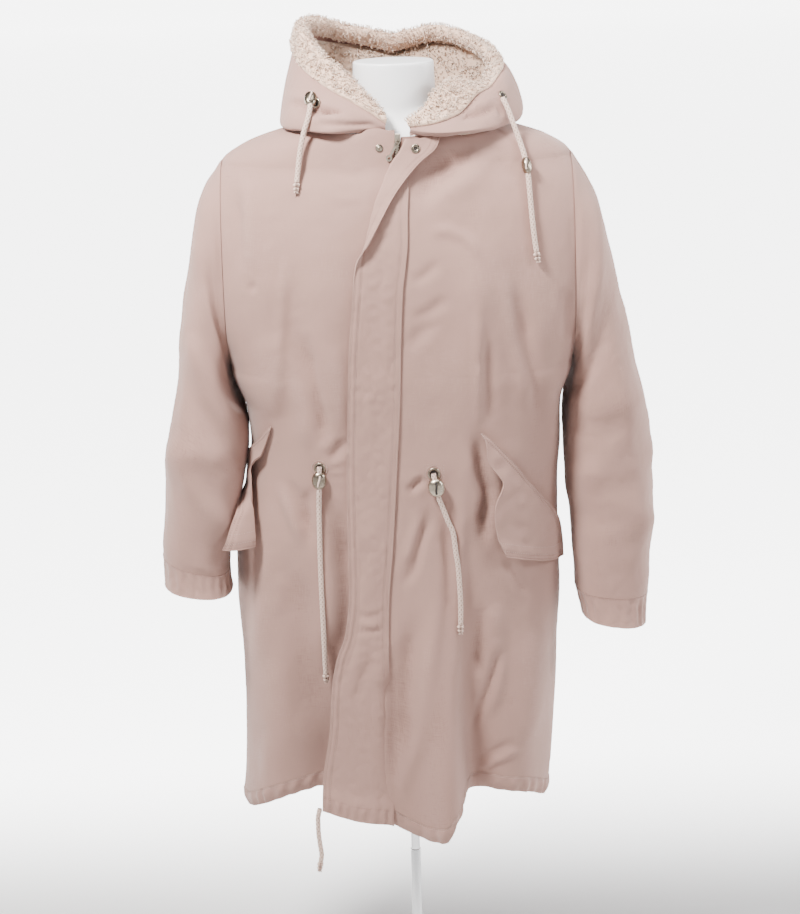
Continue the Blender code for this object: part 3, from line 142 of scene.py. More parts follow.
class Finish:  # a Principled material and what feeds it
    def __init__(self, name, colour, roughness=0.5, metallic=0.0, **fixed):
        self.material = bpy.data.materials.new(name)
        self.material.use_nodes = True
        self.tree = self.material.node_tree
        self.shader = self.tree.nodes["Principled BSDF"]
        fixed = {"Base Color": (*colour, 1), "Roughness": roughness, "Metallic": metallic, **fixed}
        for socket, value in fixed.items():
            self.shader.inputs[socket.replace("_", " ")].default_value = value

    def node(self, kind, settings, sockets, output=0):
        made = self.tree.nodes.new(kind)
        for name, value in settings.items():
            setattr(made, name, value)
        for name, value in sockets.items():
            if isinstance(value, Wire):
                self.tree.links.new(value.socket, made.inputs[name])
            else:
                made.inputs[name].default_value = value
        return Wire(self, made.outputs[output])

    def ramp(self, tone, *stops):
        made = self.node("ShaderNodeValToRGB", {}, {0: tone})
        ramp = made.socket.node.color_ramp
        while len(ramp.elements) < len(stops):
            ramp.elements.new(0.5)
        for stop, (place, colour) in zip(ramp.elements, stops):
            stop.position, stop.color = place, (*colour, 1)
        self.feed("Base Color", made)

    def blend(self, share, low, high):
        return self.node("ShaderNodeMix", {"data_type": "RGBA"}, {0: share, 6: (*low, 1), 7: (*high, 1)}, 2)

    def noise(self, place, scale, detail=3.0, rough=0.5):
        sockets = {"Vector": place, "Scale": scale, "Detail": detail, "Roughness": rough}
        return self.node("ShaderNodeTexNoise", {}, sockets, "Fac")

    def bands(self, place, direction, scale, **sockets):
        settings = {"wave_type": "BANDS", "bands_direction": direction}
        return self.node("ShaderNodeTexWave", settings, {"Vector": place, "Scale": scale, **sockets})

    def place(self, kind="Object", stretch=(1, 1, 1)):
        start = self.node("ShaderNodeTexCoord", {}, {}, kind)
        return self.node("ShaderNodeMapping", {}, {"Vector": start, "Scale": stretch})

    def mark(self, name):
        return self.node("ShaderNodeAttribute", {"attribute_name": name}, {}, "Fac")

    def feed(self, socket, wire):
        self.tree.links.new(wire.socket, self.shader.inputs[socket])

    def bump(self, height, distance, strength=1.0):
        self.feed("Normal", self.node("ShaderNodeBump", {}, {
            "Height": height, "Distance": distance, "Strength": strength}))


cottonLook = {
    "colours": ((0.170, 0.090, 0.070), (0.335, 0.198, 0.162), (0.420, 0.265, 0.222)),
    "sheen": {"Sheen_Weight": 0.12, "Sheen_Roughness": 0.55, "Specular_IOR_Level": 0.2},
    "weavePitch": 0.0011,
}


def makeCotton(name, tint=1.0):
    pitch = cottonLook["weavePitch"]
    low, middle, high = ([c * tint for c in colour] for colour in cottonLook["colours"])
    made = Finish(name, middle, roughness=0.86, **cottonLook["sheen"])
    flat = made.place("UV")
    wash = made.noise(made.place(), 5.0, 3.0)  # uneven garment dye
    warp = made.noise(made.place("UV", (900, 60, 1)), 1.0, 2.0)  # threads that run up and across
    weft = made.noise(made.place("UV", (60, 900, 1)), 1.0, 2.0)
    tone = 0.5 + (wash - 0.5) * 0.42 + (warp - 0.5) * 0.40 + (weft - 0.5) * 0.40
    shadeAndToneMark = made.mark("wear")  # painted shade: darker in seams' grooves, crease valleys and where bands meet the cloth above them, lighter on crease ridges and along folded edges, 0.5 elsewhere
    made.ramp(tone + (shadeAndToneMark - 0.5) * 0.9, (0.0, low), (0.42, middle), (0.58, middle), (1.0, high))
    twill = made.bands(flat, "DIAGONAL", 0.36 / pitch, Distortion=0.6, Detail=1.0)
    across = made.bands(flat, "X", 0.42 / pitch, Distortion=0.3)
    rumple = made.noise(made.place("Object", (1, 1, 0.6)), 42.0, 4.0, 0.55)
    made.feed("Roughness", 0.80 + (wash - 0.5) * 0.12 + twill * 0.06)
    made.bump(twill * 0.10 + across * 0.06 + (warp + weft) * 0.10 + rumple * 0.62, 0.0011, 0.55)
    return made


furLook = {
    "colours": ((0.430, 0.270, 0.185), (0.700, 0.490, 0.365), (0.860, 0.680, 0.555)),
    "sheen": {"Sheen_Weight": 0.45, "Sheen_Roughness": 0.5, "Specular_IOR_Level": 0.15},
}


def makeFur(name, shade=1.0):
    root, middle, tip = ([c * shade for c in colour] for colour in furLook["colours"])
    made = Finish(name, middle, roughness=0.92, **furLook["sheen"])
    clump, patch = made.noise(made.place(), 130.0, 3.0), made.noise(made.place(), 14.0, 2.0)
    # the tip mark carries painted shade deep in the pile: darker at the roots and on the base under the
    # locks, lighter towards the tips
    tone = made.mark("tip") * 0.62 + 0.16 + (clump - 0.5) * 0.45 + (patch - 0.5) * 0.30
    made.ramp(tone, (0.0, root), (0.38, middle), (0.85, tip))
    made.bump(clump * 0.6 + made.noise(made.place(), 620.0, 2.0) * 0.4, 0.0016, 0.6)
    return made


cordLook = {"groove": (0.170, 0.100, 0.078), "middle": (0.520, 0.365, 0.300), "crown": (0.680, 0.520, 0.440)}


def makeCordFinish():
    groove, middle, crown = cordLook.values()
    made = Finish("braidedCotton", middle, roughness=0.85, Sheen_Weight=0.25, Specular_IOR_Level=0.2)
    # the tip mark paints shade into the braid: its grooves darker, its crowns lighter
    tone = made.mark("tip") + (made.noise(made.place(), 900.0, 2.0) - 0.5) * 0.35
    made.ramp(tone, (0.0, groove), (0.45, middle), (1.0, crown))
    made.bump(made.noise(made.place("Object", (1, 1, 0.4)), 1500.0, 2.0), 0.0004, 0.7)
    return made


metalLook = {"dark": (0.075, 0.056, 0.042), "middle": (0.205, 0.165, 0.125), "bright": (0.500, 0.430, 0.345)}


def makeMetal(name, lift=0.0):
    dark, middle, bright = metalLook.values()
    made = Finish(name, middle, roughness=0.3, metallic=1.0)
    stain = made.noise(made.place(), 240.0, 4.0, 0.6)
    edge = made.node("ShaderNodeNewGeometry", {}, {}, "Pointiness")
    made.ramp(stain * 0.55 + (edge - 0.5) * 3.5 + (0.25 + lift), (0.15, dark), (0.5, middle), (0.9, bright))
    made.feed("Roughness", 0.42 - stain * 0.24)
    made.bump(made.noise(made.place(), 1900.0, 2.0), 0.00012, 0.5)
    return made


plainLook = {
    "skin": (0.86, 0.86, 0.87), "skinLow": (0.80, 0.80, 0.815), "skinHigh": (0.88, 0.88, 0.885),
    "chrome": (0.72, 0.72, 0.73), "steel": (0.60, 0.60, 0.61),
    "hole": (0.018, 0.013, 0.011), "holeLow": (0.012, 0.009, 0.008), "holeHigh": (0.035, 0.026, 0.022),
    "thread": (0.40, 0.27, 0.22), "threadLow": (0.30, 0.19, 0.155), "threadHigh": (0.47, 0.32, 0.27),
}


def makePlain():
    look = plainLook
    skin = Finish("formSkin", look["skin"], roughness=0.38, Coat_Weight=0.15, Coat_Roughness=0.3)
    scuff = skin.noise(skin.place(), 9.0, 4.0)
    skin.feed("Base Color", skin.blend(scuff, look["skinLow"], look["skinHigh"]))
    skin.feed("Roughness", 0.34 + scuff * 0.12)
    skin.bump(skin.noise(skin.place(), 160.0, 3.0), 0.0003, 0.25)
    chrome = Finish("polishedTube", look["chrome"], roughness=0.12, metallic=1.0)
    smear = chrome.noise(chrome.place("Object", (6, 6, 0.6)), 9.0, 4.0)
    chrome.feed("Roughness", 0.08 + smear * 0.14)
    chrome.bump(chrome.noise(chrome.place("Object", (60, 60, 1)), 30.0, 2.0), 0.0001, 0.3)
    steel = Finish("satinBase", look["steel"], roughness=0.3, metallic=1.0)
    brushed = steel.noise(steel.place("Object", (4, 90, 4)), 12.0, 4.0)
    steel.feed("Roughness", 0.24 + brushed * 0.2)
    steel.bump(brushed, 0.0002, 0.3)
    dark = Finish("shadowedHole", look["hole"], roughness=0.95)
    dark.feed("Base Color", dark.blend(dark.noise(dark.place(), 300.0), look["holeLow"], look["holeHigh"]))
    thread = Finish("seamThread", look["thread"], roughness=0.7, Sheen_Weight=0.2)
    twist = thread.bands(thread.place(), "DIAGONAL", 900.0)
    thread.feed("Base Color", thread.blend(twist, look["threadLow"], look["threadHigh"]))
    return {"skin": skin, "chrome": chrome, "steel": steel, "dark": dark, "thread": thread}


finishes = {}


def makeFinishes():
    print("stage: finishes")
    finishes.update(makePlain())
    finishes["cotton"] = makeCotton("cottonTwill")
    finishes["facing"] = makeCotton("cottonFacing", 0.93)
    finishes["fur"] = makeFur("teddyFur")
    # a darker copy of the fur for the hood's lining: painted shade inside the hood
    finishes["shadedLiningFur"] = makeFur("teddyFurLining", 0.72)
    finishes["cord"] = makeCordFinish()
    finishes["metal"] = makeMetal("agedMetal")
    finishes["polished"] = makeMetal("rubbedMetal", 0.22)


def table(columns, *rows):
    return dict(zip(columns.split(), np.array(rows, float).T))


def smooth(rows, name, at):  # a column against the table's first, rounded through its rows
    x, y = next(iter(rows.values())), rows[name]
    step = np.diff(x)
    slope = np.diff(y) / step
    both = slope[1:] * slope[:-1]
    total = np.where(both > 0, slope[1:] + slope[:-1], 1.0)
    middle = np.where(both > 0, 2 * both / total, 0.0)
    tangent = np.concatenate([slope[:1], middle, slope[-1:]])
    at = np.clip(at, x[0], x[-1])
    i = np.clip(np.searchsorted(x, at) - 1, 0, len(x) - 2)
    t = (at - x[i]) / step[i]
    near = y[i] * (1 + 2 * t) + step[i] * tangent[i] * t
    far = y[i + 1] * (3 - 2 * t) + step[i] * tangent[i + 1] * (t - 1)
    return near * (1 - t) ** 2 + far * t**2


def through(stops, at):  # a rounded run through evenly spaced stops
    slopes = np.gradient(stops, axis=0)
    i = np.clip(np.floor(at).astype(int), 0, len(stops) - 2)
    t = (at - i).reshape(-1, *[1] * (stops.ndim - 1))
    near = stops[i] * (1 + 2 * t) + slopes[i] * t
    far = stops[i + 1] * (3 - 2 * t) + slopes[i + 1] * (t - 1)
    return near * (1 - t) ** 2 + far * t**2


def ease(t):
    t = np.clip(t, 0, 1)
    return t * t * (3 - 2 * t)


def bell(distance, width):
    return np.exp(-((distance / width) ** 2))


def power(value, exponent):
    return np.sign(value) * np.abs(value) ** exponent


def unit(vectors):
    return vectors / np.maximum(np.linalg.norm(vectors, axis=-1, keepdims=True), 1e-12)


def lengths(line):
    return np.concatenate([[0], np.cumsum(np.linalg.norm(np.diff(line, axis=0), axis=1))])


def follow(at, stops, points):
    return np.stack([np.interp(at, stops, points[:, k]) for k in range(points.shape[1])], axis=-1)


def wrapped(points):
    return np.concatenate([points, points[:1]])


def curveThrough(route, spacing):
    route = np.array(route, float)
    along = lengths(route)
    rows = {"along": along, **{str(k): route[:, k] for k in range(route.shape[1])}}
    at = np.linspace(0, along[-1], max(4, round(along[-1] / spacing) + 1))
    return np.stack([smooth(rows, str(k), at) for k in range(route.shape[1])], axis=-1)


def waves(points, seed, length, stretch=(1, 1, 1), count=14):  # soft unevenness, from -1 to 1
    random = np.random.default_rng(seed)
    total = np.zeros(points.shape[:-1])
    for _ in range(count):
        way = unit(random.normal(size=3)) * np.array(stretch) * random.uniform(0.6, 1.7)
        total += np.sin(points @ (way * 2 * math.pi / length) + random.uniform(0, 2 * math.pi))
    return total / math.sqrt(count) * 0.9


def newObject(name, mesh, finish, sharp=45):
    mesh.materials.append(finishes[finish].material)
    mesh.shade_smooth()
    mesh.set_sharp_from_angle(angle=math.radians(sharp))
    made = link(name, mesh)
    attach(made, "parka")
    return made


def setMark(mesh, name, values):
    made = mesh.attributes.new(name, "FLOAT", "POINT")
    made.data.foreach_set("value", np.asarray(values, np.float32).ravel())


def quadMesh(name, points, faces):
    mesh = bpy.data.meshes.new(name)
    mesh.vertices.add(points.size // 3)
    mesh.vertices.foreach_set("co", points.astype(np.float32).ravel())
    mesh.loops.add(faces.size)
    mesh.loops.foreach_set("vertex_index", faces.astype(np.int32).ravel())
    mesh.polygons.add(len(faces))
    mesh.polygons.foreach_set("loop_start", np.arange(0, faces.size, 4, dtype=np.int32))
    mesh.update(calc_edges=True)
    return mesh


def spans(points, closed):  # flat cloth coordinates of a grid, in metres
    across = np.linalg.norm(np.diff(points, axis=1, append=points[:, :1]), axis=2)
    if not closed:
        across = across[:, :-1]
    across = np.concatenate([np.zeros((len(points), 1)), np.cumsum(across, axis=1)], axis=1)
    across -= across[:, -1:] / 2
    up = np.linalg.norm(np.diff(points, axis=0), axis=2).mean(1)
    up = np.concatenate([[0], np.cumsum(up)])
    return across, np.repeat(up[:, None], across.shape[1], axis=1)


def sheetMesh(name, outer, inner, closed):
    # two grids of points, joined at their edges, with flat cloth coordinates
    rows, columns = outer.shape[:2]
    count = rows * columns
    last = columns if closed else columns - 1
    i, j = (g.ravel() for g in np.meshgrid(np.arange(rows - 1), np.arange(last), indexing="ij"))
    k = (j + 1) % columns
    points = {
        "a": i * columns + j, "b": i * columns + k,
        "c": (i + 1) * columns + k, "d": (i + 1) * columns + j,
    }
    flats = {"a": (i, j), "b": (i, j + 1), "c": (i + 1, j + 1), "d": (i + 1, j)}
    u, v = spans(outer, closed)
    every, edges = np.full(len(i), True), [("baAB", i == 0), ("dcCD", i == rows - 2)]
    if not closed:
        edges += [("adDA", j == 0), ("cbBC", j == last - 1)]
    faces, uv = [], []
    for corners, keep in [("abcd", every), ("ADCB", every)] + edges:  # capitals lie on the inner grid
        faces.append(np.stack([points[p.lower()][keep] + count * p.isupper() for p in corners], axis=1))
        at = [tuple(grid[keep] for grid in flats[p.lower()]) for p in corners]
        uv.append(np.stack([np.stack([u[p], v[p]], axis=-1) for p in at], axis=1))
    front = faces[0][len(i) // 2]
    faces, uv = np.concatenate(faces), np.concatenate(uv)
    points = np.concatenate([outer.reshape(-1, 3), inner.reshape(-1, 3)])
    way = np.cross(points[front[1]] - points[front[0]], points[front[3]] - points[front[0]])
    if way @ (points[front[0]] - points[front[0] + count]) < 0:
        faces, uv = faces[:, ::-1], uv[:, ::-1]
    mesh = quadMesh(name, points, faces)
    mesh.uv_layers.new(name="cloth").data.foreach_set("uv", uv.astype(np.float32).ravel())
    return mesh


def merged(name, parts, finish, sharp=45, tip=None):
    # one mesh from (points, faces) pairs
    points, faces, start = [], [], 0
    for some, polygons in parts:
        points.extend(map(tuple, some))
        faces.extend(tuple(v + start for v in polygon) for polygon in polygons)
        start += len(some)
    mesh = bpy.data.meshes.new(name)
    mesh.from_pydata(points, [], faces)
    if tip is not None:
        setMark(mesh, "tip", tip)
    return newObject(name, mesh, finish, sharp)


def ringFaces(rings, sides, caps=True):
    faces = [
        (r * sides + k, r * sides + (k + 1) % sides, (r + 1) * sides + (k + 1) % sides, (r + 1) * sides + k)
        for r in range(rings - 1) for k in range(sides)
    ]
    if caps:
        faces += [tuple(reversed(range(sides))), tuple(range((rings - 1) * sides, rings * sides))]
    return faces


def turning(sides, one, two):  # points of a unit circle
    turn = np.arange(sides) * 2 * math.pi / sides
    return np.cos(turn)[:, None] * one + np.sin(turn)[:, None] * two


def tubeParts(path, radii, sides, start):
    # a closed tube along a path, as (points, faces)
    path = np.asarray(path, float)
    side, points = np.array(start), []
    for here, way, radius in zip(path, unit(np.gradient(path, axis=0)), np.broadcast_to(radii, len(path))):
        side = side - way * (side @ way)
        side = side / np.linalg.norm(side)
        points.append(here + radius * turning(sides, side, np.cross(way, side)))
    return np.concatenate(points), ringFaces(len(path), sides)


def turnedParts(profile, steps, place, axis, flat=1.0):
    # (radius, height) rows turned about an axis, as (points, faces)
    up = Vector(axis).normalized()
    across = Vector((0, -1, 0)).cross(up).normalized()
    basis = np.array((across, up.cross(across) * flat, up))
    turn = np.arange(steps) * 2 * math.pi / steps
    points = []
    for radius, height in profile:
        ring = np.stack([radius * np.cos(turn), radius * np.sin(turn), np.full(steps, height)], axis=1)
        points.append(ring @ basis + np.array(place))
    return np.concatenate(points), ringFaces(len(profile), steps, caps=False)


stitchLook = {"pitch": 0.0034, "length": 0.0026, "radius": 0.00042, "sink": 0.0001}
stitchParts = []


def stitchRow(places, normals, pitch=stitchLook["pitch"]):
    # small thread stitches along a line that lies on the cloth
    places, normals, radius = np.asarray(places, float), np.asarray(normals, float), stitchLook["radius"]
    along = lengths(places)
    count = int(along[-1] / pitch)
    for i in range(count):
        middle = (i + 0.5) * along[-1] / count
        at = np.clip(middle + np.array((-0.5, 0, 0.5)) * stitchLook["length"], 0, along[-1])
        normal = follow(middle, along, normals)
        rise = np.array((-1.2, 0.8, -1.2)) * radius - stitchLook["sink"]
        stitchParts.append(tubeParts(follow(at, along, places) + normal * rise[:, None], radius, 4, normal))


def makeSheet(name, node, outer, inner, rests, wear=None, closed=False, tip=None, finish="cotton"):
    mesh = sheetMesh(name, outer, inner, closed)
    mark, values = ("wear", wear) if tip is None else ("tip", tip)
    setMark(mesh, mark, np.concatenate([values.ravel(), values.ravel()]))
    mesh.validate()
    fur = tip is not None
    made = newObject(name, mesh, finish, 80 if fur else 45)
    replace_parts(made, node)
    whole = np.concatenate([outer, outer[:, :1]], axis=1) if closed else outer
    across = float(np.linalg.norm(np.diff(whole, axis=1), axis=2).sum(1).max())
    up = float(np.linalg.norm(np.diff(outer, axis=0), axis=2).sum(0).max())
    area = float(cellAreas(whole).sum())
    area = min(max(area, 0.31 * across * up), across * up)
    return made


def cellAreas(grid):
    a, b = grid[1:, :-1] - grid[:-1, :-1], grid[:-1, 1:] - grid[:-1, :-1]
    return np.linalg.norm(np.cross(a, b), axis=2)


coat = {
    "cloth": 0.002, "double": 0.0024, "fur": 0.009, "cord": 0.007,  # how thick
    "gap": 0.0003, "lay": 0.0009, "casing": 0.026,
    "hemZ": 0.356, "flareZ": 0.75, "armpitZ": 1.04, "tipZ": 1.32, "neckZ": 1.372,
    "armholeX": 0.240, "armholeHalf": 0.095, "armholeTaper": 0.12, "round": 2.4,
    "zipHalf": 0.004, "zipLow": 0.69, "sliderZ": 1.3575, "levels": 226,
    "torso": table("z halfWidth shift front back square",
        (0.32, 0.226, -0.03, 0.15, 0.141, 2.3), (0.356, 0.226, -0.029, 0.15, 0.14, 2.3),
        (0.44, 0.2265, -0.021, 0.15, 0.138, 2.3), (0.6, 0.228, -0.014, 0.149, 0.133, 2.4),
        (0.7, 0.234, -0.0135, 0.148, 0.129, 2.4), (0.8, 0.231, -0.0125, 0.147, 0.124, 2.5),
        (0.88, 0.2215, -0.003, 0.146, 0.12, 2.6), (0.93, 0.2195, 0.002, 0.146, 0.12, 2.8),
        (0.98, 0.222, 0.001, 0.147, 0.124, 3), (1.04, 0.2397, 0, 0.149, 0.131, 3.2),
        (1.15, 0.2397, 0, 0.149, 0.137, 3), (1.2, 0.2397, 0, 0.145, 0.135, 2.8),
        (1.25, 0.2397, 0, 0.135, 0.128, 2.6), (1.29, 0.2397, 0, 0.122, 0.118, 2.5),
        (1.32, 0.2397, 0, 0.107, 0.107, 2.4), (1.342, 0.2115, 0, 0.103, 0.096, 2.4),
        (1.352, 0.187, 0, 0.1015, 0.09, 2.4), (1.363, 0.15, 0, 0.1, 0.083, 2.3),
        (1.372, 0.105, 0, 0.098, 0.076, 2.3), (1.378, 0.09, 0, 0.096, 0.068, 2.3)),
    "fly": table("z zipX sewnX width turnAt turnDeg",
        (0.32, -0.05, -0.03, 0.103, 0.2, 0), (0.4, -0.05, -0.03, 0.1, 0.19, 0),
        (0.5, -0.048, -0.03, 0.087, 0.15, 0), (0.58, -0.047, -0.03, 0.081, 0.13, 0),
        (0.62, -0.046, -0.03, 0.074, 0.12, 0), (0.667, -0.045, -0.029, 0.061, 0.11, 0),
        (0.725, -0.043, -0.027, 0.056, 0.1, 0), (0.797, -0.038, -0.02, 0.062, 0.09, 0),
        (0.911, -0.03, -0.011, 0.069, 0.085, 0), (1.01, -0.024, -0.004, 0.071, 0.078, 0),
        (1.08, -0.02, -0.001, 0.07, 0.074, 0), (1.16, -0.014, 0.004, 0.067, 0.066, 5),
        (1.197, -0.01, 0.009, 0.069, 0.06, 40), (1.225, -0.007, 0.012, 0.071, 0.053, 105),
        (1.26, -0.005, 0.013, 0.07, 0.044, 150), (1.287, -0.003, 0.015, 0.068, 0.036, 166),
        (1.327, 0, 0.017, 0.066, 0.0185, 172), (1.345, 0.002, 0.018, 0.064, 0.008, 174),
        (1.372, 0.003, 0.019, 0.056, 0, 176)),
    "hems": {
        "frontRight": table("x z",
            (-0.26, 0.358), (-0.222, 0.393), (-0.185, 0.417), (-0.15, 0.427), (-0.1, 0.43), (-0.04, 0.418)),
        "frontLeft": table("x z",
            (-0.13, 0.408), (-0.08, 0.394), (-0.037, 0.386), (-0.008, 0.37), (0.018, 0.36), (0.038, 0.364),
            (0.056, 0.386), (0.078, 0.42), (0.1, 0.426), (0.135, 0.421), (0.167, 0.407), (0.2, 0.374)),
        "back": table("x z",
            (-0.26, 0.356), (-0.15, 0.34), (0, 0.332), (0.13, 0.34), (0.2, 0.362)),
    },
    "necklines": {
        "frontRight": table("x drop",
            (-0.105, 0), (-0.06, 0.009), (-0.048, 0.009), (-0.036, 0.003), (-0.024, 0.002), (-0.01, 0.005)),
        "frontLeft": table("x drop",
            (-0.105, 0), (-0.06, 0.01), (0, 0.014), (0.06, 0.01), (0.105, 0)),
    },
    "folds": [  # panel, xTop, xHem, zTop, zFull, zEnd, push, width
        ("frontLeft", 0.032, 0.048, 0.84, 0.42, 0, 0.036, 0.03),
        ("frontLeft", 0.072, 0.096, 0.8, 0.44, 0, -0.024, 0.024),
        ("frontLeft", 0.16, 0.15, 0.7, 0.5, 0, 0.01, 0.03),
        ("frontLeft", 0.105, 0.07, 1.26, 1.12, 0.92, 0.007, 0.022),
        ("frontLeft", 0.16, 0.15, 1.24, 1.12, 0.98, -0.006, 0.02),
        ("frontRight", -0.115, -0.13, 0.74, 0.42, 0, -0.04, 0.048),
        ("frontRight", -0.19, -0.2, 0.72, 0.5, 0, 0.008, 0.03),
        ("frontRight", -0.1, -0.14, 1.26, 1.05, 0.8, 0.007, 0.026),
        ("frontRight", -0.15, -0.14, 1.24, 1.1, 0.92, -0.006, 0.02),
        ("back", -0.12, -0.13, 0.95, 0.5, 0, 0.014, 0.04),
        ("back", -0.04, -0.045, 0.95, 0.5, 0, -0.012, 0.035),
        ("back", 0.03, 0.04, 0.95, 0.5, 0, 0.014, 0.035), ("back", 0.11, 0.11, 0.95, 0.5, 0, -0.01, 0.035),
        ("back", -0.09, -0.07, 1.26, 1.1, 0.9, 0.007, 0.03),
        ("back", 0.09, 0.07, 1.26, 1.1, 0.9, 0.007, 0.03),
    ],
}
panels = {
    "frontRight": {"face": -1, "columns": 60, "seed": 3, "gathers": 12, "name": "frontRight",
                   "nodes": ("front_right", "hem_channel_front_right")},
    "frontLeft": {"face": -1, "columns": 80, "seed": 5, "gathers": 17, "name": "frontLeft",
                  "nodes": ("front_left", "hem_channel_front_left")},
    "back": {"face": 1, "columns": 78, "seed": 7, "gathers": 22, "name": "backPanel",
             "nodes": ("back", "hem_channel_back")},
}
# creases: push and width, then x and z along each, all in mm
bodyCreases = [
    (-9, 8, 97, 962, 101, 930, 106, 900, 113, 870, 108, 835, 108, 790),
    (3.5, 10, -207, 1321, -201, 1279, -202, 1221, -199, 1175),
    (-3, 10, -217, 1297, -212, 1240, -209, 1182), (-2, 6, -201, 1171, -195, 1159),
    (4, 18, -176, 1115, -181, 1037, -189, 961),
    (2, 7, -144, 1229, -156, 1163, -163, 1094, -172, 1009, -178, 971),
    (-7, 12, -131, 1120, -131, 1089, -126, 1052, -118, 1013, -112, 977, -112, 948, -116, 924),
    (3, 11, -149, 1109, -143, 1061, -136, 1012, -129, 969, -128, 929),
    (2, 12, -93, 1096, -89, 1013, -91, 956), (-4, 7, -79, 958, -93, 939, -106, 923),
    (-1.3, 3, -105, 914, -80, 918), (-1, 3, -106, 904, -83, 900),
    (-5, 8, -128, 893, -136, 868, -137, 839, -132, 796),
    (3.5, 7, -172, 892, -161, 851, -148, 821, -138, 799), (-3, 8, -159, 897, -146, 856, -135, 822),
    (-10, 14, -100, 877, -92, 827, -87, 783, -86, 725, -90, 682, -101, 638, -115, 582),
    (4, 14, -188, 819, -201, 758, -212, 680, -230, 579),
    (-6, 26, -161, 779, -150, 706, -149, 598, -162, 503), (-4, 12, -216, 535, -230, 480, -241, 424),
    (2, 10, -176, 763, -189, 686), (-6, 14, 19, 1271, 44, 1295, 74, 1319, 106, 1344),
    (3, 14, 36, 1268, 70, 1291, 111, 1314, 142, 1335),
    (2.2, 6, 35, 1236, 62, 1237, 84, 1229, 100, 1216, 107, 1195), (-1.8, 6, 14, 1170, 34, 1180, 54, 1199),
    (-2, 7, 12, 1117, 39, 1131, 66, 1151), (-2, 8, 8, 1074, 22, 1098, 52, 1119),
    (3, 6, 104, 1158, 104, 1091, 103, 1006, 99, 961), (-3, 8, 115, 1103, 115, 1005, 113, 962),
    (-5, 10, 151, 1161, 163, 1112, 172, 1056, 183, 996, 189, 935),
    (3, 9, 138, 1185, 149, 1113, 165, 1043, 179, 967), (3, 10, 199, 1052, 206, 957, 207, 896),
    (-4, 5, 27, 899, 14, 889, 3, 877), (-4, 6, 36, 860, 24, 824, 13, 789, 3, 760, -15, 739),
    (2, 6, 19, 850, 7, 811, -8, 768), (-3, 6, 57, 854, 55, 809, 57, 758, 56, 665),
    (4, 8, 84, 950, 78, 864, 71, 778, 65, 691, 59, 577, 56, 402),
    (4, 9, 41, 738, 31, 667, 20, 580, 10, 519, -8, 462, -23, 428),
    (-5, 10, 10, 710, -2, 651, -11, 576, -16, 485), (-4, 8, -22, 666, -28, 576, -30, 486, -28, 416),
    (2, 10, -37, 679, -44, 608, -45, 517), (-4, 9, 102, 716, 95, 656, 89, 595),
    (3, 10, 120, 713, 124, 653, 120, 620), (-3.5, 5, 128, 652, 115, 600, 101, 562, 83, 505),
    (2, 6, 135, 640, 123, 578, 105, 529), (2.4, 4, 89, 451, 124, 470, 158, 488),
    (-1.8, 5, 87, 463, 121, 487, 148, 500), (-3, 5, 133, 773, 145, 754, 160, 728, 173, 705),
    (5, 20, 171, 672, 178, 564, 168, 475), (-1.2, 4, -79, 706, -57, 703, -34, 707),
    (1, 4, -80, 694, -55, 690, -33, 693), (-1.2, 4, -75, 682, -52, 681, -34, 685),
    (-1.8, 6, -54, 645, -69, 608, -80, 569), (-1.2, 5, -69, 1019, -55, 1025, -43, 1035),
    (-1.5, 9, -38, 1012, -29, 984, -25, 955), (-1.2, 8, -51, 813, -63, 778, -67, 748),
    (-5, 10, 225, 1153, 230, 1110, 228, 1066), (1.2, 6, -89, 1286, -69, 1280, -47, 1283),
    (-1, 5, -82, 1315, -59, 1309, -40, 1317),
]


def fly(name, z):
    return smooth(coat["fly"], name, z)


def armholeHalf(z):
    tip, pit = coat["tipZ"], coat["armpitZ"]
    rise = (z - (tip + pit) / 2) / ((tip - pit) / 2)
    inside = np.clip(1 - np.abs(rise) ** coat["round"], 0, 1)
    return coat["armholeHalf"] * inside ** (1 / coat["round"]) * (1 - coat["armholeTaper"] * rise)


def section(u, z, panel):
    # the torso's outline at height z: u runs from -1, the wearer's right boundary, to 1
    face = panels[panel]["face"]
    depth, shift, square = (
        smooth(coat["torso"], name, z) for name in ("front" if face < 0 else "back", "shift", "square"))
    half = armholeHalf(z)
    edge = coat["armholeX"] - coat["gap"] - np.sign(u) * shift
    reach = np.where(half > 0, edge, smooth(coat["torso"], "halfWidth", z))
    full = reach / (1 - (half / depth) ** square) ** (1 / square)
    angle = u * np.arcsin(np.clip((reach / full) ** (square / 2), 0, 1))
    return shift + full * power(np.sin(angle), 2 / square), face * depth * power(np.cos(angle), 2 / square)


def foldPush(x, z, panel):
    total = np.zeros_like(x)
    for where, xTop, xHem, zTop, zFull, zEnd, push, width in coat["folds"]:
        if where == panel:
            centre = xTop + (xHem - xTop) * np.clip((zTop - z) / (zTop - coat["hemZ"]), 0, 1)
            fall = ease((z - zEnd) / (zFull - zEnd)) if zEnd else 1.0
            total += push * ease((zTop - z) / (zTop - zFull)) * fall * bell(x - centre, width)
    return total


def rowHeight(level, x, panel):
    if level < coat["flareZ"]:
        share = (coat["flareZ"] - level) / (coat["flareZ"] - coat["hemZ"])
        return level + share * (smooth(coat["hems"][panel], "z", x) - coat["hemZ"])
    if level > coat["tipZ"] and panel in coat["necklines"]:
        share = (level - coat["tipZ"]) / (coat["neckZ"] - coat["tipZ"])
        return level - share**2 * smooth(coat["necklines"][panel], "drop", x)
    return np.full_like(x, level)


def outline(level, panel):
    face = panels[panel]["face"]
    u = np.linspace(-1, 1, 361)
    z = np.full_like(u, level)
    for _ in range(3):
        x, y = section(u, z, panel)
        z = rowHeight(level, x, panel)
    along = unit(np.stack([np.gradient(x), np.gradient(y)], axis=-1))
    push = foldPush(x, z, panel) * ease((1 - np.abs(u)) * 6)
    return np.stack([x - face * along[:, 1] * push, y + face * along[:, 0] * push, z], axis=-1)


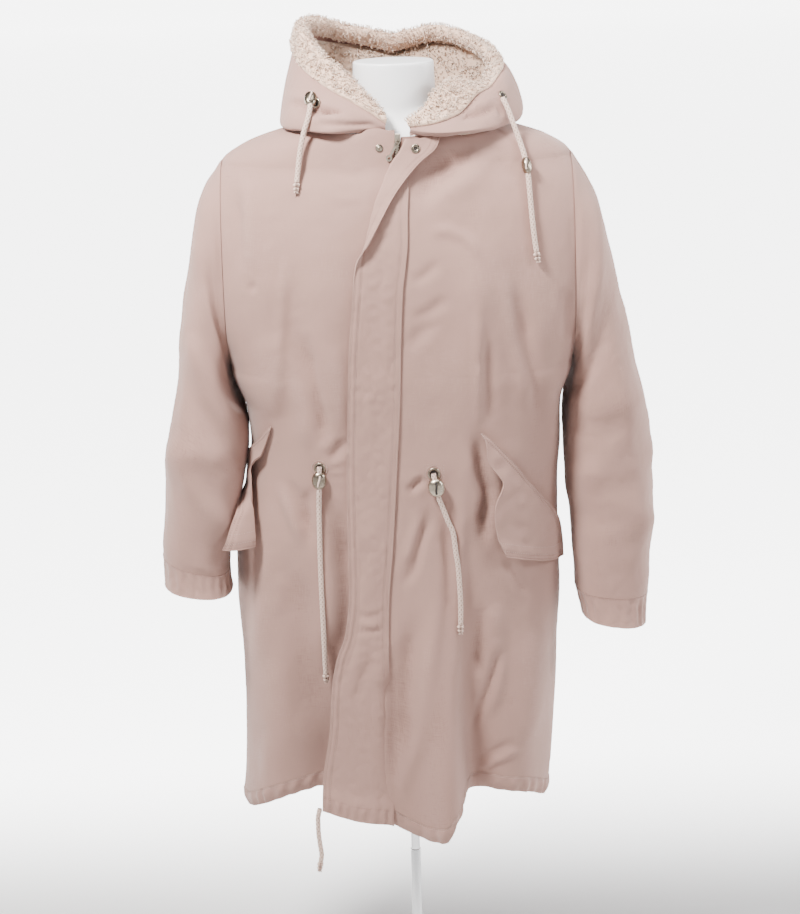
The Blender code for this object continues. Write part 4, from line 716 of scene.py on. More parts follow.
def clothRow(level, panel, lowX, highX, shares):
    points = outline(level, panel)
    length = lengths(points)
    gap = coat["gap"] / 2
    start = gap if lowX is None else np.interp(lowX, points[:, 0], length)
    end = length[-1] - gap if highX is None else np.interp(highX, points[:, 0], length)
    skip = armholeHalf(level)
    low, high = skip * (lowX is None), skip * (highX is None)
    at = start - low + (end + high - start + low) * np.asarray(shares)
    stops = (start, start + 1.2 * low, end - 1.2 * high, end)
    at = np.interp(at, (start - low, start + 1.2 * low, end - 1.2 * high, end + high), stops)
    return follow(at, length, points), follow(at, length, unit(np.gradient(points, axis=0)))


def frontEdges(panel, level):
    zipX = float(fly("zipX", level))
    return {"frontRight": (None, zipX - coat["zipHalf"]), "frontLeft": (zipX + coat["zipHalf"], None)}.get(
        panel, (None, None))


def climb(points, level, face):
    span, depth, shift = ([smooth(coat["torso"], name, level + d) for d in (-0.003, 0.003)]
                          for name in ("halfWidth", "front" if face < 0 else "back", "shift"))
    across = (points[:, 0] - sum(shift) / 2) / (sum(span) / 2) * (span[1] - span[0]) + shift[1] - shift[0]
    out = points[:, 1] / (sum(depth) / 2) * (depth[1] - depth[0])
    return unit(np.stack([across, out, np.full(len(points), 0.006)], axis=-1))


def clothGrid(panel, levels, shares, edges=frontEdges):
    rows, normals = [], []
    for level in levels:
        limits = edges(panel, level)
        here, along = clothRow(level, panel, *limits, shares)
        normal = unit(np.cross(along, climb(here, level, panels[panel]["face"]))) * -panels[panel]["face"]
        for end, limit in zip((0, -1), limits):
            if limit is None and coat["armpitZ"] < level < coat["tipZ"]:
                normal[end] = unit(normal[end] * (0, 1, 1))
        rows.append(here)
        normals.append(normal)
    return np.array(rows), np.array(normals)


def clothAt(panel, x, z):
    level = z
    for _ in range(5):
        points = outline(level, panel)
        level += z - float(np.interp(x, points[:, 0], points[:, 2]))
    rows, normals = clothGrid(panel, [level], [0.5], edges=lambda name, row: (x - 1e-4, x + 1e-4))
    return rows[0, 0], normals[0, 0]


def creasePush(points, creases):
    # how far the listed creases push the cloth, from its x and z
    flat = points[..., (0, 2)].reshape(-1, 2)
    total = np.zeros(len(flat))
    for push, width, *route in creases:
        route = np.reshape(route, (-1, 2)) / 1000
        line = curveThrough(route, 0.005) if len(route) > 2 else np.linspace(route[0], route[1], 12)
        reach = 4 * width / 1000
        near = ((flat > line.min(0) - reach) & (flat < line.max(0) + reach)).all(1)
        if near.any():
            away = np.linalg.norm(flat[near][:, None] - line[None], axis=2)
            t = away.argmin(1) / (len(line) - 1)
            d = away.min(1) / (1.25 * width / 1000)
            profile = 1.25 * bell(d, 1) - 0.42 * bell(d, 2.1)
            total[near] += 1.45 * push / 1000 * profile * ease(np.minimum(t, 1 - t) * 3.2 + 0.02)
    return total.reshape(points.shape[:-1])


rippleLook = {"broad": 0.0009, "middle": 0.0003, "tight": 0.00014}  # how far each pushes the cloth


def ripple(points, seed, fine=1.0):
    broad = waves(points, seed, 0.11, (1, 1, 0.45)) * rippleLook["broad"]
    middle = waves(points, seed + 1, 0.04, (1, 1, 0.5)) * rippleLook["middle"]
    tight = waves(points, seed + 2, 0.014) * rippleLook["tight"]
    mask = ease(waves(points, seed + 3, 0.2) * 0.5 + 0.6)  # leaves some places calm
    return (broad + (middle + tight) * (0.45 + 0.8 * mask)) * fine


def edgeFade(shape, *sides):  # left, right, bottom, top
    u, v = np.linspace(0, 1, shape[1])[None], np.linspace(0, 1, shape[0])[:, None]
    fade = np.ones(shape)
    for used, distance in zip(sides, (u, 1 - u, v, 1 - v)):
        if used:
            fade = fade * ease(distance / 0.05)
    return fade


def groove(distance, depth, width=0.0016):
    return -depth * bell(distance, width)


def bandShadeAndTone(rows, columns, places, values):
    return np.repeat(np.interp(np.linspace(0, 1, rows), places, values)[:, None], columns, axis=1)


def makePanels():
    print("stage: panels")
    bottom = coat["hemZ"] + coat["casing"] + coat["gap"]
    levels = np.unique(np.concatenate([
        np.linspace(bottom, coat["neckZ"], coat["levels"]), [coat["armpitZ"], coat["tipZ"]]]))
    for panel, look in panels.items():
        outer, normals = clothGrid(panel, levels, np.linspace(0, 1, look["columns"]))
        front = np.clip(-normals[..., 1], 0, 1) ** 0.6
        fade = edgeFade(outer.shape[:2], panel != "frontLeft", panel != "frontRight", False, True)
        push = ripple(outer, look["seed"]) * fade
        if look["face"] < 0:
            push = push + creasePush(outer, bodyCreases) * front * fade
            push = push * (1 - 0.9 * bell(outer[..., 0] - fly("zipX", outer[..., 2]), 0.012))
        if panel == "frontLeft":  # the flap's seam is pressed in
            push = push + groove(outer[..., 0] - fly("sewnX", outer[..., 2]) - 0.004, 0.0006, 0.003)
        outer = outer + normals * push[..., None]
        # painted shade: crease valleys darker and ridges lighter, over a little random tone
        wear = 0.5 + np.clip(waves(outer, 91, 0.12), -1, 1) * 0.06 + np.clip(push * 26, -0.24, 0.14)
        inner = outer - normals * coat["cloth"]
        makeSheet(look["name"], look["nodes"][0], outer, inner, "dress_form", wear)
        makeHemChannel(panel, outer[0], normals[0], look)


def makeHemChannel(panel, top, normals, look, count=13):
    # the hem's double band, drawn in by the cord inside it
    fine, gathers = look["gathers"] * 14, look["gathers"]
    index = np.arange(len(top))
    at = np.linspace(0, len(top) - 1, fine)
    normal = unit(follow(at, index, normals) * (1, 1, 0))
    top = follow(at, index, top) - normal * 0.0008 + (0, 0, 0.0012)
    random = np.random.default_rng(look["seed"] + 40)
    stops = np.cumsum(random.uniform(0.6, 1.4, gathers + 1))
    turn = np.interp(at / at[-1], (stops - stops[0]) / (stops[-1] - stops[0]), np.arange(gathers + 1))
    height = np.interp(np.arange(fine), np.linspace(0, fine - 1, gathers + 1),
                       random.uniform(0.4, 1.3, gathers + 1))
    gather = (np.cos(2 * math.pi * turn) * height)[:, None]
    fade = ease(np.minimum(at, at[-1] - at) / 2)[:, None]
    if panel == "frontLeft":  # flat where the storm flap lies on it
        fade = fade * ease((top[:, :1] + 0.028) / 0.03)
    rows = []
    for share in np.linspace(0, 1, count):
        puff = math.sin(math.pi * min(share * 1.05, 1)) ** 0.7
        out = 0.0018 * puff * fade + 0.0019 * gather * fade * min(1, share * 2.2) * (1 - 0.25 * share)
        out = out - 0.0035 * share**2
        rows.append(top - np.array((0, 0, coat["casing"])) * share + normal * out)
    rows = np.array(rows)[::-1]
    rows = rows + normal[None] * (waves(rows, look["seed"] + 9, 0.016) * 0.0003)[..., None]
    # painted shade: darker at the top where the band meets the panel above; lighter along its folded bottom
    # edge
    wear = bandShadeAndTone(count, fine, (0, 0.12, 0.8, 1), (0.75, 0.5, 0.5, 0.32))
    makeSheet(panel + "HemChannel", look["nodes"][1], rows, rows - normal * coat["double"],
              look["name"], wear)
    for row in (count - 2, count - 3):  # its seam is stitched twice
        stitchRow(rows[row] + normal * 0.0002, normal)


stormFlap = {
    "columns": 56, "levels": 250, "sewnAbove": 0.605, "gatherPitch": 0.013,
    "edgeStitches": (0.0028, 0.0105), "seamStitches": (0.0015, 0.008),
}


def flapPath(z, columns):
    # the storm flap's section at height z: how far from its seam, how high off the front, its heading
    width, turnAt, turnDeg = (float(fly(name, z)) for name in ("width", "turnAt", "turnDeg"))
    turn = math.radians(turnDeg)
    s = np.linspace(0, width, 401)
    heading = turn * ease((s - turnAt) / max(0.0045 * turn, 0.004)) + 0.03
    away = np.concatenate([[0], np.cumsum(np.cos(heading[:-1]) * s[1])])
    clear = coat["lay"] + 0.004 * ease((coat["hemZ"] + 0.05 - z) / 0.03)
    height = clear + np.concatenate([[0], np.cumsum(np.sin(heading[:-1]) * s[1])])
    bend = np.cumsum(np.abs(np.gradient(heading)) * 0.02 + s[1])
    at = np.interp(np.linspace(bend[0], bend[-1], columns), bend, s)
    return follow(at, s, np.stack([away, height, heading], axis=-1)), at


def makeStormFlap():
    print("stage: storm flap")
    columns, free = stormFlap["columns"], stormFlap["sewnAbove"]
    levels = np.linspace(coat["hemZ"], coat["neckZ"] - 0.005, stormFlap["levels"])
    under, normal, along = [], [], []
    for level in levels:
        row = outline(level, "frontLeft")
        path, at = flapPath(level, columns)
        x = float(fly("sewnX", level)) - path[:, 0]
        y, z = (np.interp(x, row[:, 0], row[:, k]) for k in (1, 2))
        under.append(np.stack([x, y - path[:, 1], z], axis=-1))
        normal.append(np.stack([np.sin(path[:, 2]), -np.cos(path[:, 2]), np.zeros(columns)], axis=-1))
        along.append(at)
    under, normal, along = np.array(under), np.array(normal), np.array(along)
    high, back = levels[:, None], np.array((0, 1, 0))
    push = creasePush(under, bodyCreases)
    loose = ease(along / 0.012)
    push = np.maximum(push, -0.0006) * loose + push * (1 - loose)
    under = under - back * (push + 0.0010 * ease(along / 0.02))[..., None]
    fold = waves(under, 55, 0.05, (1.3, 1, 0.5)) * 0.0009 + waves(under, 56, 0.02) * 0.0003
    under = under + normal * (np.abs(fold) * ease(along / 0.01))[..., None]
    sink = 0.0046 * (1 - ease(along / 0.034)) * ease((free - high) / 0.03)  # sewn down below
    under = under + back * sink[..., None]
    fromEdge, fromLow = along[:, -1:] - along, high - levels[0]
    gathers = 0.0013 * np.sin(along * 2 * math.pi / stormFlap["gatherPitch"] + np.sin(along * 90))
    gathers = gathers * ease(fromLow / 0.008) * ease((0.025 - fromLow) / 0.006)
    lines = gathers + groove(fromLow - coat["casing"], 0.0010)
    for inset in stormFlap["edgeStitches"]:
        lines = lines + groove(fromEdge - inset, 0.0006)
    lines = lines + groove(along - stormFlap["seamStitches"][1], 0.0005) * (high > 0.6)
    puff = 0.0005 * bell(fromEdge - 0.0065, 0.0025)
    outer = under + normal * (coat["cloth"] + lines + puff)[..., None]
    # painted shade in the casing and stitch grooves; lighter along the folded free edge
    wear = 0.5 + 0.28 * bell(fromEdge, 0.0012) + (lines - gathers) * 520
    makeSheet("stormFlap", "storm_flap", outer, under, "frontLeft", wear)
    for inset in stormFlap["edgeStitches"]:
        stitchRow(*(np.array([follow(run[-1] - inset, run, row) for run, row in zip(along, grid)])
                    for grid in (outer, normal)))
    keep = levels > free
    for inset in stormFlap["seamStitches"]:
        rows = np.array([follow(inset, run, row) for run, row in zip(along, outer)])
        stitchRow(rows[keep], normal[keep, 2])


sleeves = {
    "side": {"left": 1, "right": -1}, "columns": 104, "rows": 146,
    "cuff": {"rows": 26, "perSide": 2, "gathers": 22},
    "cuffDrop": {"left": (-0.004, -0.044, 0.010, -0.040), "right": (-0.001, -0.042, -0.002, -0.030)},
    "rings": {
        "left": table("step outerX outerZ innerX innerZ half y",
            (0, 0.24, 1.32, 0.24, 1.04, 0.095, 0), (1, 0.264, 1.281, 0.2412, 1.031, 0.094, -0.001),
            (2, 0.28, 1.238, 0.2415, 1.023, 0.093, -0.002), (3, 0.291, 1.19, 0.2405, 1.015, 0.092, -0.003),
            (4, 0.302, 1.14, 0.2385, 1.005, 0.09, -0.004), (5, 0.313, 1.095, 0.2355, 0.992, 0.088, -0.005),
            (6, 0.324, 1.045, 0.2315, 0.975, 0.086, -0.007),
            (7, 0.334, 0.995, 0.2295, 0.948, 0.083, -0.009),
            (8, 0.343, 0.945, 0.2295, 0.915, 0.08, -0.011),
            (9, 0.3485, 0.897, 0.2325, 0.875, 0.077, -0.013),
            (10, 0.3505, 0.845, 0.236, 0.83, 0.074, -0.016), (11, 0.35, 0.797, 0.238, 0.79, 0.071, -0.019),
            (12, 0.347, 0.747, 0.2395, 0.748, 0.067, -0.023),
            (13, 0.3435, 0.692, 0.243, 0.7, 0.062, -0.027)),
        "right": table("step outerX outerZ innerX innerZ half y",
            (0, 0.24, 1.32, 0.24, 1.04, 0.095, 0), (1, 0.2629, 1.289, 0.2411, 1.03, 0.094, -0.002),
            (2, 0.2766, 1.252, 0.2409, 1.022, 0.093, -0.006),
            (3, 0.2851, 1.212, 0.2392, 1.013, 0.092, -0.012),
            (4, 0.2915, 1.168, 0.2358, 1.002, 0.091, -0.019),
            (5, 0.2979, 1.126, 0.2314, 0.988, 0.089, -0.026),
            (6, 0.3038, 1.081, 0.2235, 0.97, 0.087, -0.033),
            (7, 0.3092, 1.031, 0.2206, 0.948, 0.084, -0.04),
            (8, 0.3172, 0.984, 0.2228, 0.919, 0.081, -0.046),
            (9, 0.3268, 0.944, 0.228, 0.889, 0.078, -0.05),
            (10, 0.3329, 0.899, 0.2341, 0.854, 0.075, -0.052),
            (11, 0.336, 0.857, 0.2416, 0.819, 0.072, -0.054),
            (12, 0.3398, 0.817, 0.2503, 0.784, 0.068, -0.055),
            (13, 0.3441, 0.776, 0.2555, 0.75, 0.064, -0.056)),
    },
    "folds": [  # side, step, angle, lean, push, width, spread
        ("left", 2, 165, 0.01, -0.006, 0.9, 38), ("left", 4.5, 200, 0.012, 0.006, 0.8, 40),
        ("left", 7, 150, -0.01, -0.005, 0.8, 45), ("left", 9, 205, 0.014, -0.007, 0.7, 45),
        ("left", 10.6, 140, -0.014, -0.006, 0.6, 45), ("right", 2.5, 190, 0.01, -0.006, 0.9, 40),
        ("right", 5.5, 150, -0.012, -0.006, 0.7, 40), ("right", 7.5, 195, 0.016, 0.007, 0.7, 45),
        ("right", 8.8, 160, -0.016, -0.008, 0.6, 50), ("right", 10.4, 200, 0.016, -0.007, 0.6, 45),
        ("left", 9.5, 350, 0.01, -0.007, 0.7, 50), ("right", 9.5, 350, 0.01, -0.007, 0.7, 50),
    ],
}
sleeveCreases = {  # as bodyCreases
    "right": [
        (-12, 9, -259, 1212, -256, 1196, -254, 1175, -244, 1154, -245, 1093),
        (6, 12, -269, 1196, -265, 1166, -253, 1138, -252, 1073),
        (3, 10, -254, 1163, -247, 1136, -240, 1107),
        (-5, 7, -278, 1091, -265, 1097, -249, 1096, -244, 1053),
        (3, 10, -274, 1076, -250, 1075, -240, 1043), (6, 8, -239, 1034, -247, 1020, -264, 994),
        (-10, 10, -236, 1010, -239, 1003, -245, 967), (-4, 6, -259, 1008, -263, 983, -258, 955),
        (4, 7, -252, 965, -234, 948), (6, 7, -233, 945, -247, 923, -270, 908),
        (-8, 9, -234, 924, -251, 906, -266, 896),
        (3, 6, -286, 1194, -287, 1105, -284, 1011, -282, 916, -286, 843, -293, 783),
        (-3, 8, -323, 911, -322, 853, -328, 802), (-3, 6, -277, 864, -263, 871, -247, 850),
        (-4, 6, -278, 801, -260, 810, -245, 815), (-4, 8, -245, 1288, -250, 1257),
        (-3, 6, -266, 1267, -255, 1248, -245, 1223), (2, 6, -260, 1239, -266, 1217),
    ],
    "left": [
        (-4, 4, 245, 1268, 243, 1211, 240, 1144, 242, 1063), (-4, 5, 245, 1272, 253, 1266, 263, 1259),
        (3, 6, 254, 1276, 267, 1265), (5, 14, 280, 1207, 276, 1128, 279, 1044, 273, 988, 262, 945),
        (-3, 15, 301, 1082, 311, 986, 316, 914), (-3, 6, 246, 896, 260, 909, 277, 922, 288, 937),
        (-2, 5, 268, 898, 282, 905, 288, 918), (-4, 10, 242, 868, 248, 839, 260, 811, 274, 769),
        (3, 12, 258, 887, 285, 873, 306, 842), (-1.5, 5, 272, 815, 292, 806, 311, 798),
        (-3, 5, 249, 748, 258, 730, 271, 719), (-2, 5, 259, 752, 274, 733, 294, 720),
        (-2, 5, 305, 761, 311, 732, 317, 709), (-1.5, 4, 281, 760, 297, 750),
        (2, 6, 328, 981, 336, 880, 330, 779), (-2, 6, 332, 1003, 335, 922),
        (3, 7, 253, 1230, 249, 1184, 248, 1130),
    ],
}


def sleevePoint(side, step, angle):
    # angle 90 is the sleeve's outer line, 180 in front, 270 its inner line
    rings, sign = sleeves["rings"][side], sleeves["side"][side]
    outer, inner = (
        np.stack([smooth(rings, line + "X", step), smooth(rings, line + "Z", step)])
        for line in ("outer", "inner"))
    rise = power(np.sin(np.radians(angle)), 2 / coat["round"])
    taper = 1 - coat["armholeTaper"] * rise * np.clip(1 - step / 4, 0, 1)
    across = smooth(rings, "half", step) * power(np.cos(np.radians(angle)), 2 / coat["round"]) * taper
    x, z = (outer + inner) / 2 + (outer - inner) / 2 * rise
    return np.stack([sign * x, smooth(rings, "y", step) + across, z], axis=-1)


def sleeveGrid(side, steps, angles):
    step, angle = np.meshgrid(steps, angles, indexing="ij")
    here, last = sleevePoint(side, step, angle), steps[-1]
    ahead = sleevePoint(side, np.minimum(step + 0.05, last), angle)
    behind = sleevePoint(side, np.maximum(step - 0.05, 0), angle)
    turn = sleevePoint(side, step, angle + 1) - sleevePoint(side, step, angle - 1)
    normal = unit(np.cross(turn, ahead - behind)) * -sleeves["side"][side]
    normal[0] = unit(normal[0] * (0, 1, 1))
    push = np.zeros_like(step)
    for where, at, turned, lean, depth, width, spread in sleeves["folds"]:
        if where == side:
            away = (angle - turned + 180) % 360 - 180
            push += depth * np.exp(-(((step - at - lean * away) / width) ** 2) - (away / spread) ** 2)
    push *= ease(step / 1.5) * ease((last - step) / 1.0)
    return here + normal * push[..., None], normal


def makeSleeves():
    print("stage: sleeves")
    for side, sign in sleeves["side"].items():
        # even spacing round the ring, from its shape
        last = sleeves["rings"][side]["step"][-1]
        fine = np.linspace(0, 360, 1441)
        run = lengths(sleevePoint(side, np.full_like(fine, last / 2), fine))
        angles = np.interp(np.linspace(0, run[-1], sleeves["columns"], endpoint=False), run, fine)
        steps = np.linspace(0, last, sleeves["rows"])
        outer, normals = sleeveGrid(side, steps, angles)
        front = np.clip(-normals[..., 1] * 1.4, 0, 1)
        fade = (ease(steps / 0.5) * ease((last - steps) / 0.35))[:, None]
        push = ripple(outer, 60 + (sign > 0), 1.5) * fade
        push = push + creasePush(outer, sleeveCreases[side]) * front * fade * 1.6
        across = waves(outer, 67 + sign, 0.08, (0.6, 0.6, 1.4)) * 0.0009
        push = push + np.where(across < 0, across * 1.2, across * 0.7) * fade * (1 - 0.5 * front)
        outer = outer + normals * push[..., None]
        outer[0, :, 0] -= sign * 0.0005
        # painted shade: crease valleys darker and ridges lighter
        makeSheet("sleeve" + side.title(), "sleeve_" + side, outer, outer - normals * coat["cloth"],
                  "dress_form", 0.5 + np.clip(push * 40, -0.32, 0.16), closed=True)
        makeCuff(side, sign, outer[-1], normals[-1])
        stitchRow(wrapped(outer[-3]), wrapped(normals[-3]))


def makeCuff(side, sign, ring, normals):
    rows, perSide, gathers = sleeves["cuff"].values()
    outerDx, outerDz, innerDx, innerDz = sleeves["cuffDrop"][side]
    columns = len(ring) * perSide
    at = np.arange(columns) / perSide
    index = np.arange(len(ring) + 1)
    top, normal = follow(at, index, wrapped(ring)), unit(follow(at, index, wrapped(normals)))
    outwards = (top[:, 0] * sign - min(top[:, 0] * sign)) / np.ptp(top[:, 0])
    drop = np.stack([
        sign * (innerDx + (outerDx - innerDx) * outwards),
        np.full(columns, -0.004),
        innerDz + (outerDz - innerDz) * outwards,
    ], axis=-1)
    random = np.random.default_rng(8 + (sign > 0))
    turn = 2 * math.pi * at / len(ring)
    phase = gathers * turn + 1.4 * np.sin(turn * 3 + random.uniform(0, 6))
    gather = (np.cos(phase) * (0.7 + 0.4 * np.sin(turn * 5 + random.uniform(0, 6))))[:, None]
    start = top + unit(drop) * coat["gap"]
    built = []
    for share in np.linspace(0, 1, rows):
        puff = math.sin(math.pi * share) ** 0.8
        out = 0.0016 * puff + 0.0015 * gather * puff - 0.0008 * share
        built.append(start + drop * share + normal * out)
    built = np.array(built)
    built = built + normal[None] * (waves(built, 31, 0.012) * 0.0003)[..., None]
    # painted shade: darker at the top where the cuff meets the sleeve; lighter along its folded bottom edge
    wear = bandShadeAndTone(rows, columns, (0, 0.1, 0.9, 1), (0.3, 0.5, 0.5, 0.7))
    makeSheet("cuff" + side.title(), "cuff_" + side, built, built - normal * coat["double"],
              "sleeve" + side.title(), wear, closed=True)
    for row in (2, rows - 3):
        stitchRow(wrapped(built[row] + normal * 0.0002), wrapped(normal))


hood = {
    "lift": 0.0026, "furLift": 0.0031, "rows": 64,
    "columns": {"shell": 150, "trim": 90, "lining": 80},
    "tufts": {
        "trim": {"perSquareMetre": 150000, "radius": 0.00062, "tall": (0.3, 0.58), "curl": 0.8},
        "lining": {"perSquareMetre": 60000, "radius": 0.0008, "tall": (0.35, 0.7), "curl": 0.8},
    },
    "seam": {"right": 0, "left": -1},  # the edge at the centre back
    "profile": {
        "right": table("angle lowR lowZ outR outZ edgeR edgeZ rimR rimZ",
            (-180, 0.15, 1.345, 0.222, 1.392, 0.203, 1.438, 0.18, 1.466),
            (-160, 0.15, 1.347, 0.213, 1.392, 0.202, 1.452, 0.18, 1.482),
            (-135, 0.15, 1.353, 0.192, 1.39, 0.18, 1.46, 0.163, 1.498),
            (-110, 0.15, 1.36, 0.167, 1.384, 0.152, 1.448, 0.133, 1.488),
            (-90, 0.148, 1.366, 0.157, 1.376, 0.138, 1.434, 0.105, 1.464),
            (-60, 0.138, 1.365, 0.151, 1.373, 0.118, 1.411, 0.08, 1.435),
            (-40, 0.129, 1.364, 0.136, 1.371, 0.111, 1.4, 0.074, 1.416),
            (-22, 0.098, 1.366, 0.101, 1.371, 0.1, 1.386, 0.081, 1.399),
            (-8, 0.092, 1.362, 0.093, 1.366, 0.094, 1.372, 0.088, 1.381)),
        "left": table("angle lowR lowZ outR outZ edgeR edgeZ rimR rimZ",
            (11, 0.098, 1.362, 0.101, 1.365, 0.102, 1.368, 0.094, 1.374),
            (22, 0.119, 1.359, 0.127, 1.363, 0.126, 1.368, 0.1, 1.387),
            (40, 0.134, 1.359, 0.148, 1.364, 0.14, 1.372, 0.089, 1.41),
            (60, 0.146, 1.36, 0.162, 1.368, 0.141, 1.396, 0.093, 1.422),
            (75, 0.15, 1.362, 0.169, 1.373, 0.145, 1.412, 0.118, 1.41),
            (90, 0.152, 1.362, 0.176, 1.379, 0.155, 1.427, 0.133, 1.428),
            (110, 0.152, 1.358, 0.187, 1.386, 0.168, 1.433, 0.146, 1.442),
            (135, 0.152, 1.353, 0.204, 1.392, 0.192, 1.447, 0.163, 1.462),
            (160, 0.15, 1.347, 0.22, 1.393, 0.208, 1.452, 0.182, 1.478),
            (180, 0.15, 1.345, 0.222, 1.392, 0.203, 1.438, 0.18, 1.466)),
    },
    "lining": {
        "right": table("angle row depth",
            (-180, 3.3, 0.008), (-50, 3.3, 0.008), (-29, 3.3, 0.005)),
        "left": table("angle row depth",
            (25, 2.4, 0.0028), (45, 2.5, 0.003), (60, 2.75, 0.004), (75, 2.8, 0.006), (90, 2.9, 0.007),
            (105, 3.05, 0.008), (125, 3.3, 0.008), (180, 3.3, 0.008)),
    },
}
hoodCreases = [  # as bodyCreases
    (-4, 4.5, -151, 1397, -127, 1400, -102, 1395, -78, 1392),
    (3, 5, -148, 1405, -127, 1406, -105, 1401, -79, 1399), (-4, 3, -102, 1393, -83, 1393, -66, 1391),
    (-2, 2.5, -104, 1392, -103, 1380), (2.5, 6, -156, 1378, -127, 1382, -86, 1384, -46, 1381),
    (-2, 3, -113, 1378, -73, 1377, -40, 1375, -15, 1375), (-3, 5, 77, 1380, 111, 1385, 142, 1391),
    (-2, 3, 139, 1392, 145, 1378), (2, 6, 89, 1387, 114, 1394, 138, 1403),
    (-2, 6, 158, 1413, 164, 1394, 167, 1374),
]


def coatRing(level, angle):
    points = np.concatenate([outline(level, "frontLeft"), outline(level, "back")[::-1]])
    bearing = np.degrees(np.arctan2(points[:, 0], -points[:, 1]))
    order = np.argsort(bearing)
    bearing, points = bearing[order], points[order]
    radius = np.interp(angle, bearing, np.hypot(points[:, 0], points[:, 1]))
    return radius, np.interp(angle, bearing, points[:, 2])


def shoulderHeight(angles, radius):
    rings = [coatRing(level, angles) for level in np.linspace(coat["neckZ"], coat["tipZ"] - 0.06, 14)]
    wide, tall = (np.array([ring[k] for ring in rings]) for k in (0, 1))
    return np.array([np.interp(radius[i], wide[:, i], tall[:, i]) for i in range(len(angles))])


def around(angles, radius, height):
    turn = np.radians(angles)[:, None]
    return np.stack([radius * np.sin(turn), -radius * np.cos(turn), height], axis=-1)


def hoodProfile(side, angles, rows):
    # row 0 is the neck seam, 1 low, 2 out, 3 the fur's edge, 4 the rim
    radius, height = coatRing(coat["neckZ"], angles)
    if side == "right":
        radius = radius - ease((angles + 44) / 10) * 0.007
    stops = {"R": [radius], "Z": [height + coat["gap"]]}
    r, z = (
        through(np.array(first + [smooth(hood["profile"][side], name + end, angles)
                                  for name in ("low", "out", "edge", "rim")]), rows).T
        for end, first in stops.items())
    return r, np.where(rows[None] < 2.2, np.maximum(z, shoulderHeight(angles, r) + hood["lift"]), z)


def hoodGrid(side, angles, rows):
    rows = np.array(rows)
    low, high = hood["profile"][side]["angle"][[0, -1]]
    here, above, below, after, before = (
        around(turned, *hoodProfile(side, turned, at)) for turned, at in (
            (angles, rows), (angles, np.minimum(rows + 0.04, 4)), (angles, np.maximum(rows - 0.04, 0)),
            (np.minimum(angles + 1, high), rows), (np.maximum(angles - 1, low), rows)))
    up = unit(above - below)
    normal = unit(np.cross(unit(after - before), up))
    seam = hood["seam"][side]
    normal[seam] = unit(normal[seam] * (0, 1, 1))
    return here, normal, up


def hoodAngles(side, part):
    seam = math.degrees(coat["gap"] / 0.2)
    low, high = hood["profile"][side]["angle"][[0, -1]]
    low, high = low + seam * (side == "right"), high - seam * (side == "left")
    return np.linspace(low, high, hood["columns"][part])


def makeHood():
    print("stage: hood")
    for side in ("right", "left"):
        rows = np.linspace(0, 4, hood["rows"])
        outer, normals, _ = hoodGrid(side, hoodAngles(side, "shell"), rows)
        fade = edgeFade(outer.shape[:2], True, True, side == "left", side == "right")
        fade = fade * ((rows > 0.15) & (rows < 3.2))[None]
        push = ripple(outer, 80, 1.2) * fade
        push = push + creasePush(outer, hoodCreases) * np.clip(-normals[..., 1] * 1.5, 0, 1) * fade
        outer = outer + normals * push[..., None]
        outer[hood["seam"][side], :, 0] = 0
        # painted shade: crease valleys darker and ridges lighter
        makeSheet("hoodShell" + side.title(), "hood_shell_" + side, outer, outer - normals * coat["cloth"],
                  "dress_form", 0.5 + np.clip(push * 50, -0.32, 0.16))
        for k in (1, 5):  # its neck seam
            stitchRow(outer[:, k], normals[:, k])
        makeTrim(side, hoodAngles(side, "trim"))
        makeLining(side, hoodAngles(side, "lining"))


def makeTrim(side, angles):
    here, normal, up = hoodGrid(side, angles, np.linspace(3.35, 4, 9))
    gap, fur, cloth = coat["gap"], coat["fur"], coat["cloth"]
    depth = np.interp(np.arange(9), (0, 2, 5, 8), (0.5, 0.9, 1.0, 1.0))
    inner = [here[:, k] + normal[:, k] * gap for k in range(9)]
    outer = [here[:, k] + normal[:, k] * (gap + fur * depth[k]) for k in range(9)]
    rim, ahead, away = here[:, 8], up[:, 8], normal[:, 8]
    for lean, back in ((1, 0), (0.5, 0.25), (0, 0.5), (-0.5, 0.75), (-1, 1)):  # over the rim
        base = rim - away * cloth * back
        way = unit(away * lean + ahead * (1 if abs(lean) > 0.6 else 1.3))
        inner.append(base + way * gap)
        outer.append(base + way * (gap + fur))
    pressed = smooth(hood["lining"][side], "depth", angles)[:, None]
    for k in (8, 6, 4, 2):
        inner.append(here[:, k] - normal[:, k] * (cloth + hood["furLift"]))
        outer.append(inner[-1] - normal[:, k] * pressed)
    outer, inner = (np.array(rows).transpose(1, 0, 2) for rows in (outer, inner))
    makePile("Trim", side, outer, inner, "fur", 1 if side == "right" else 2)


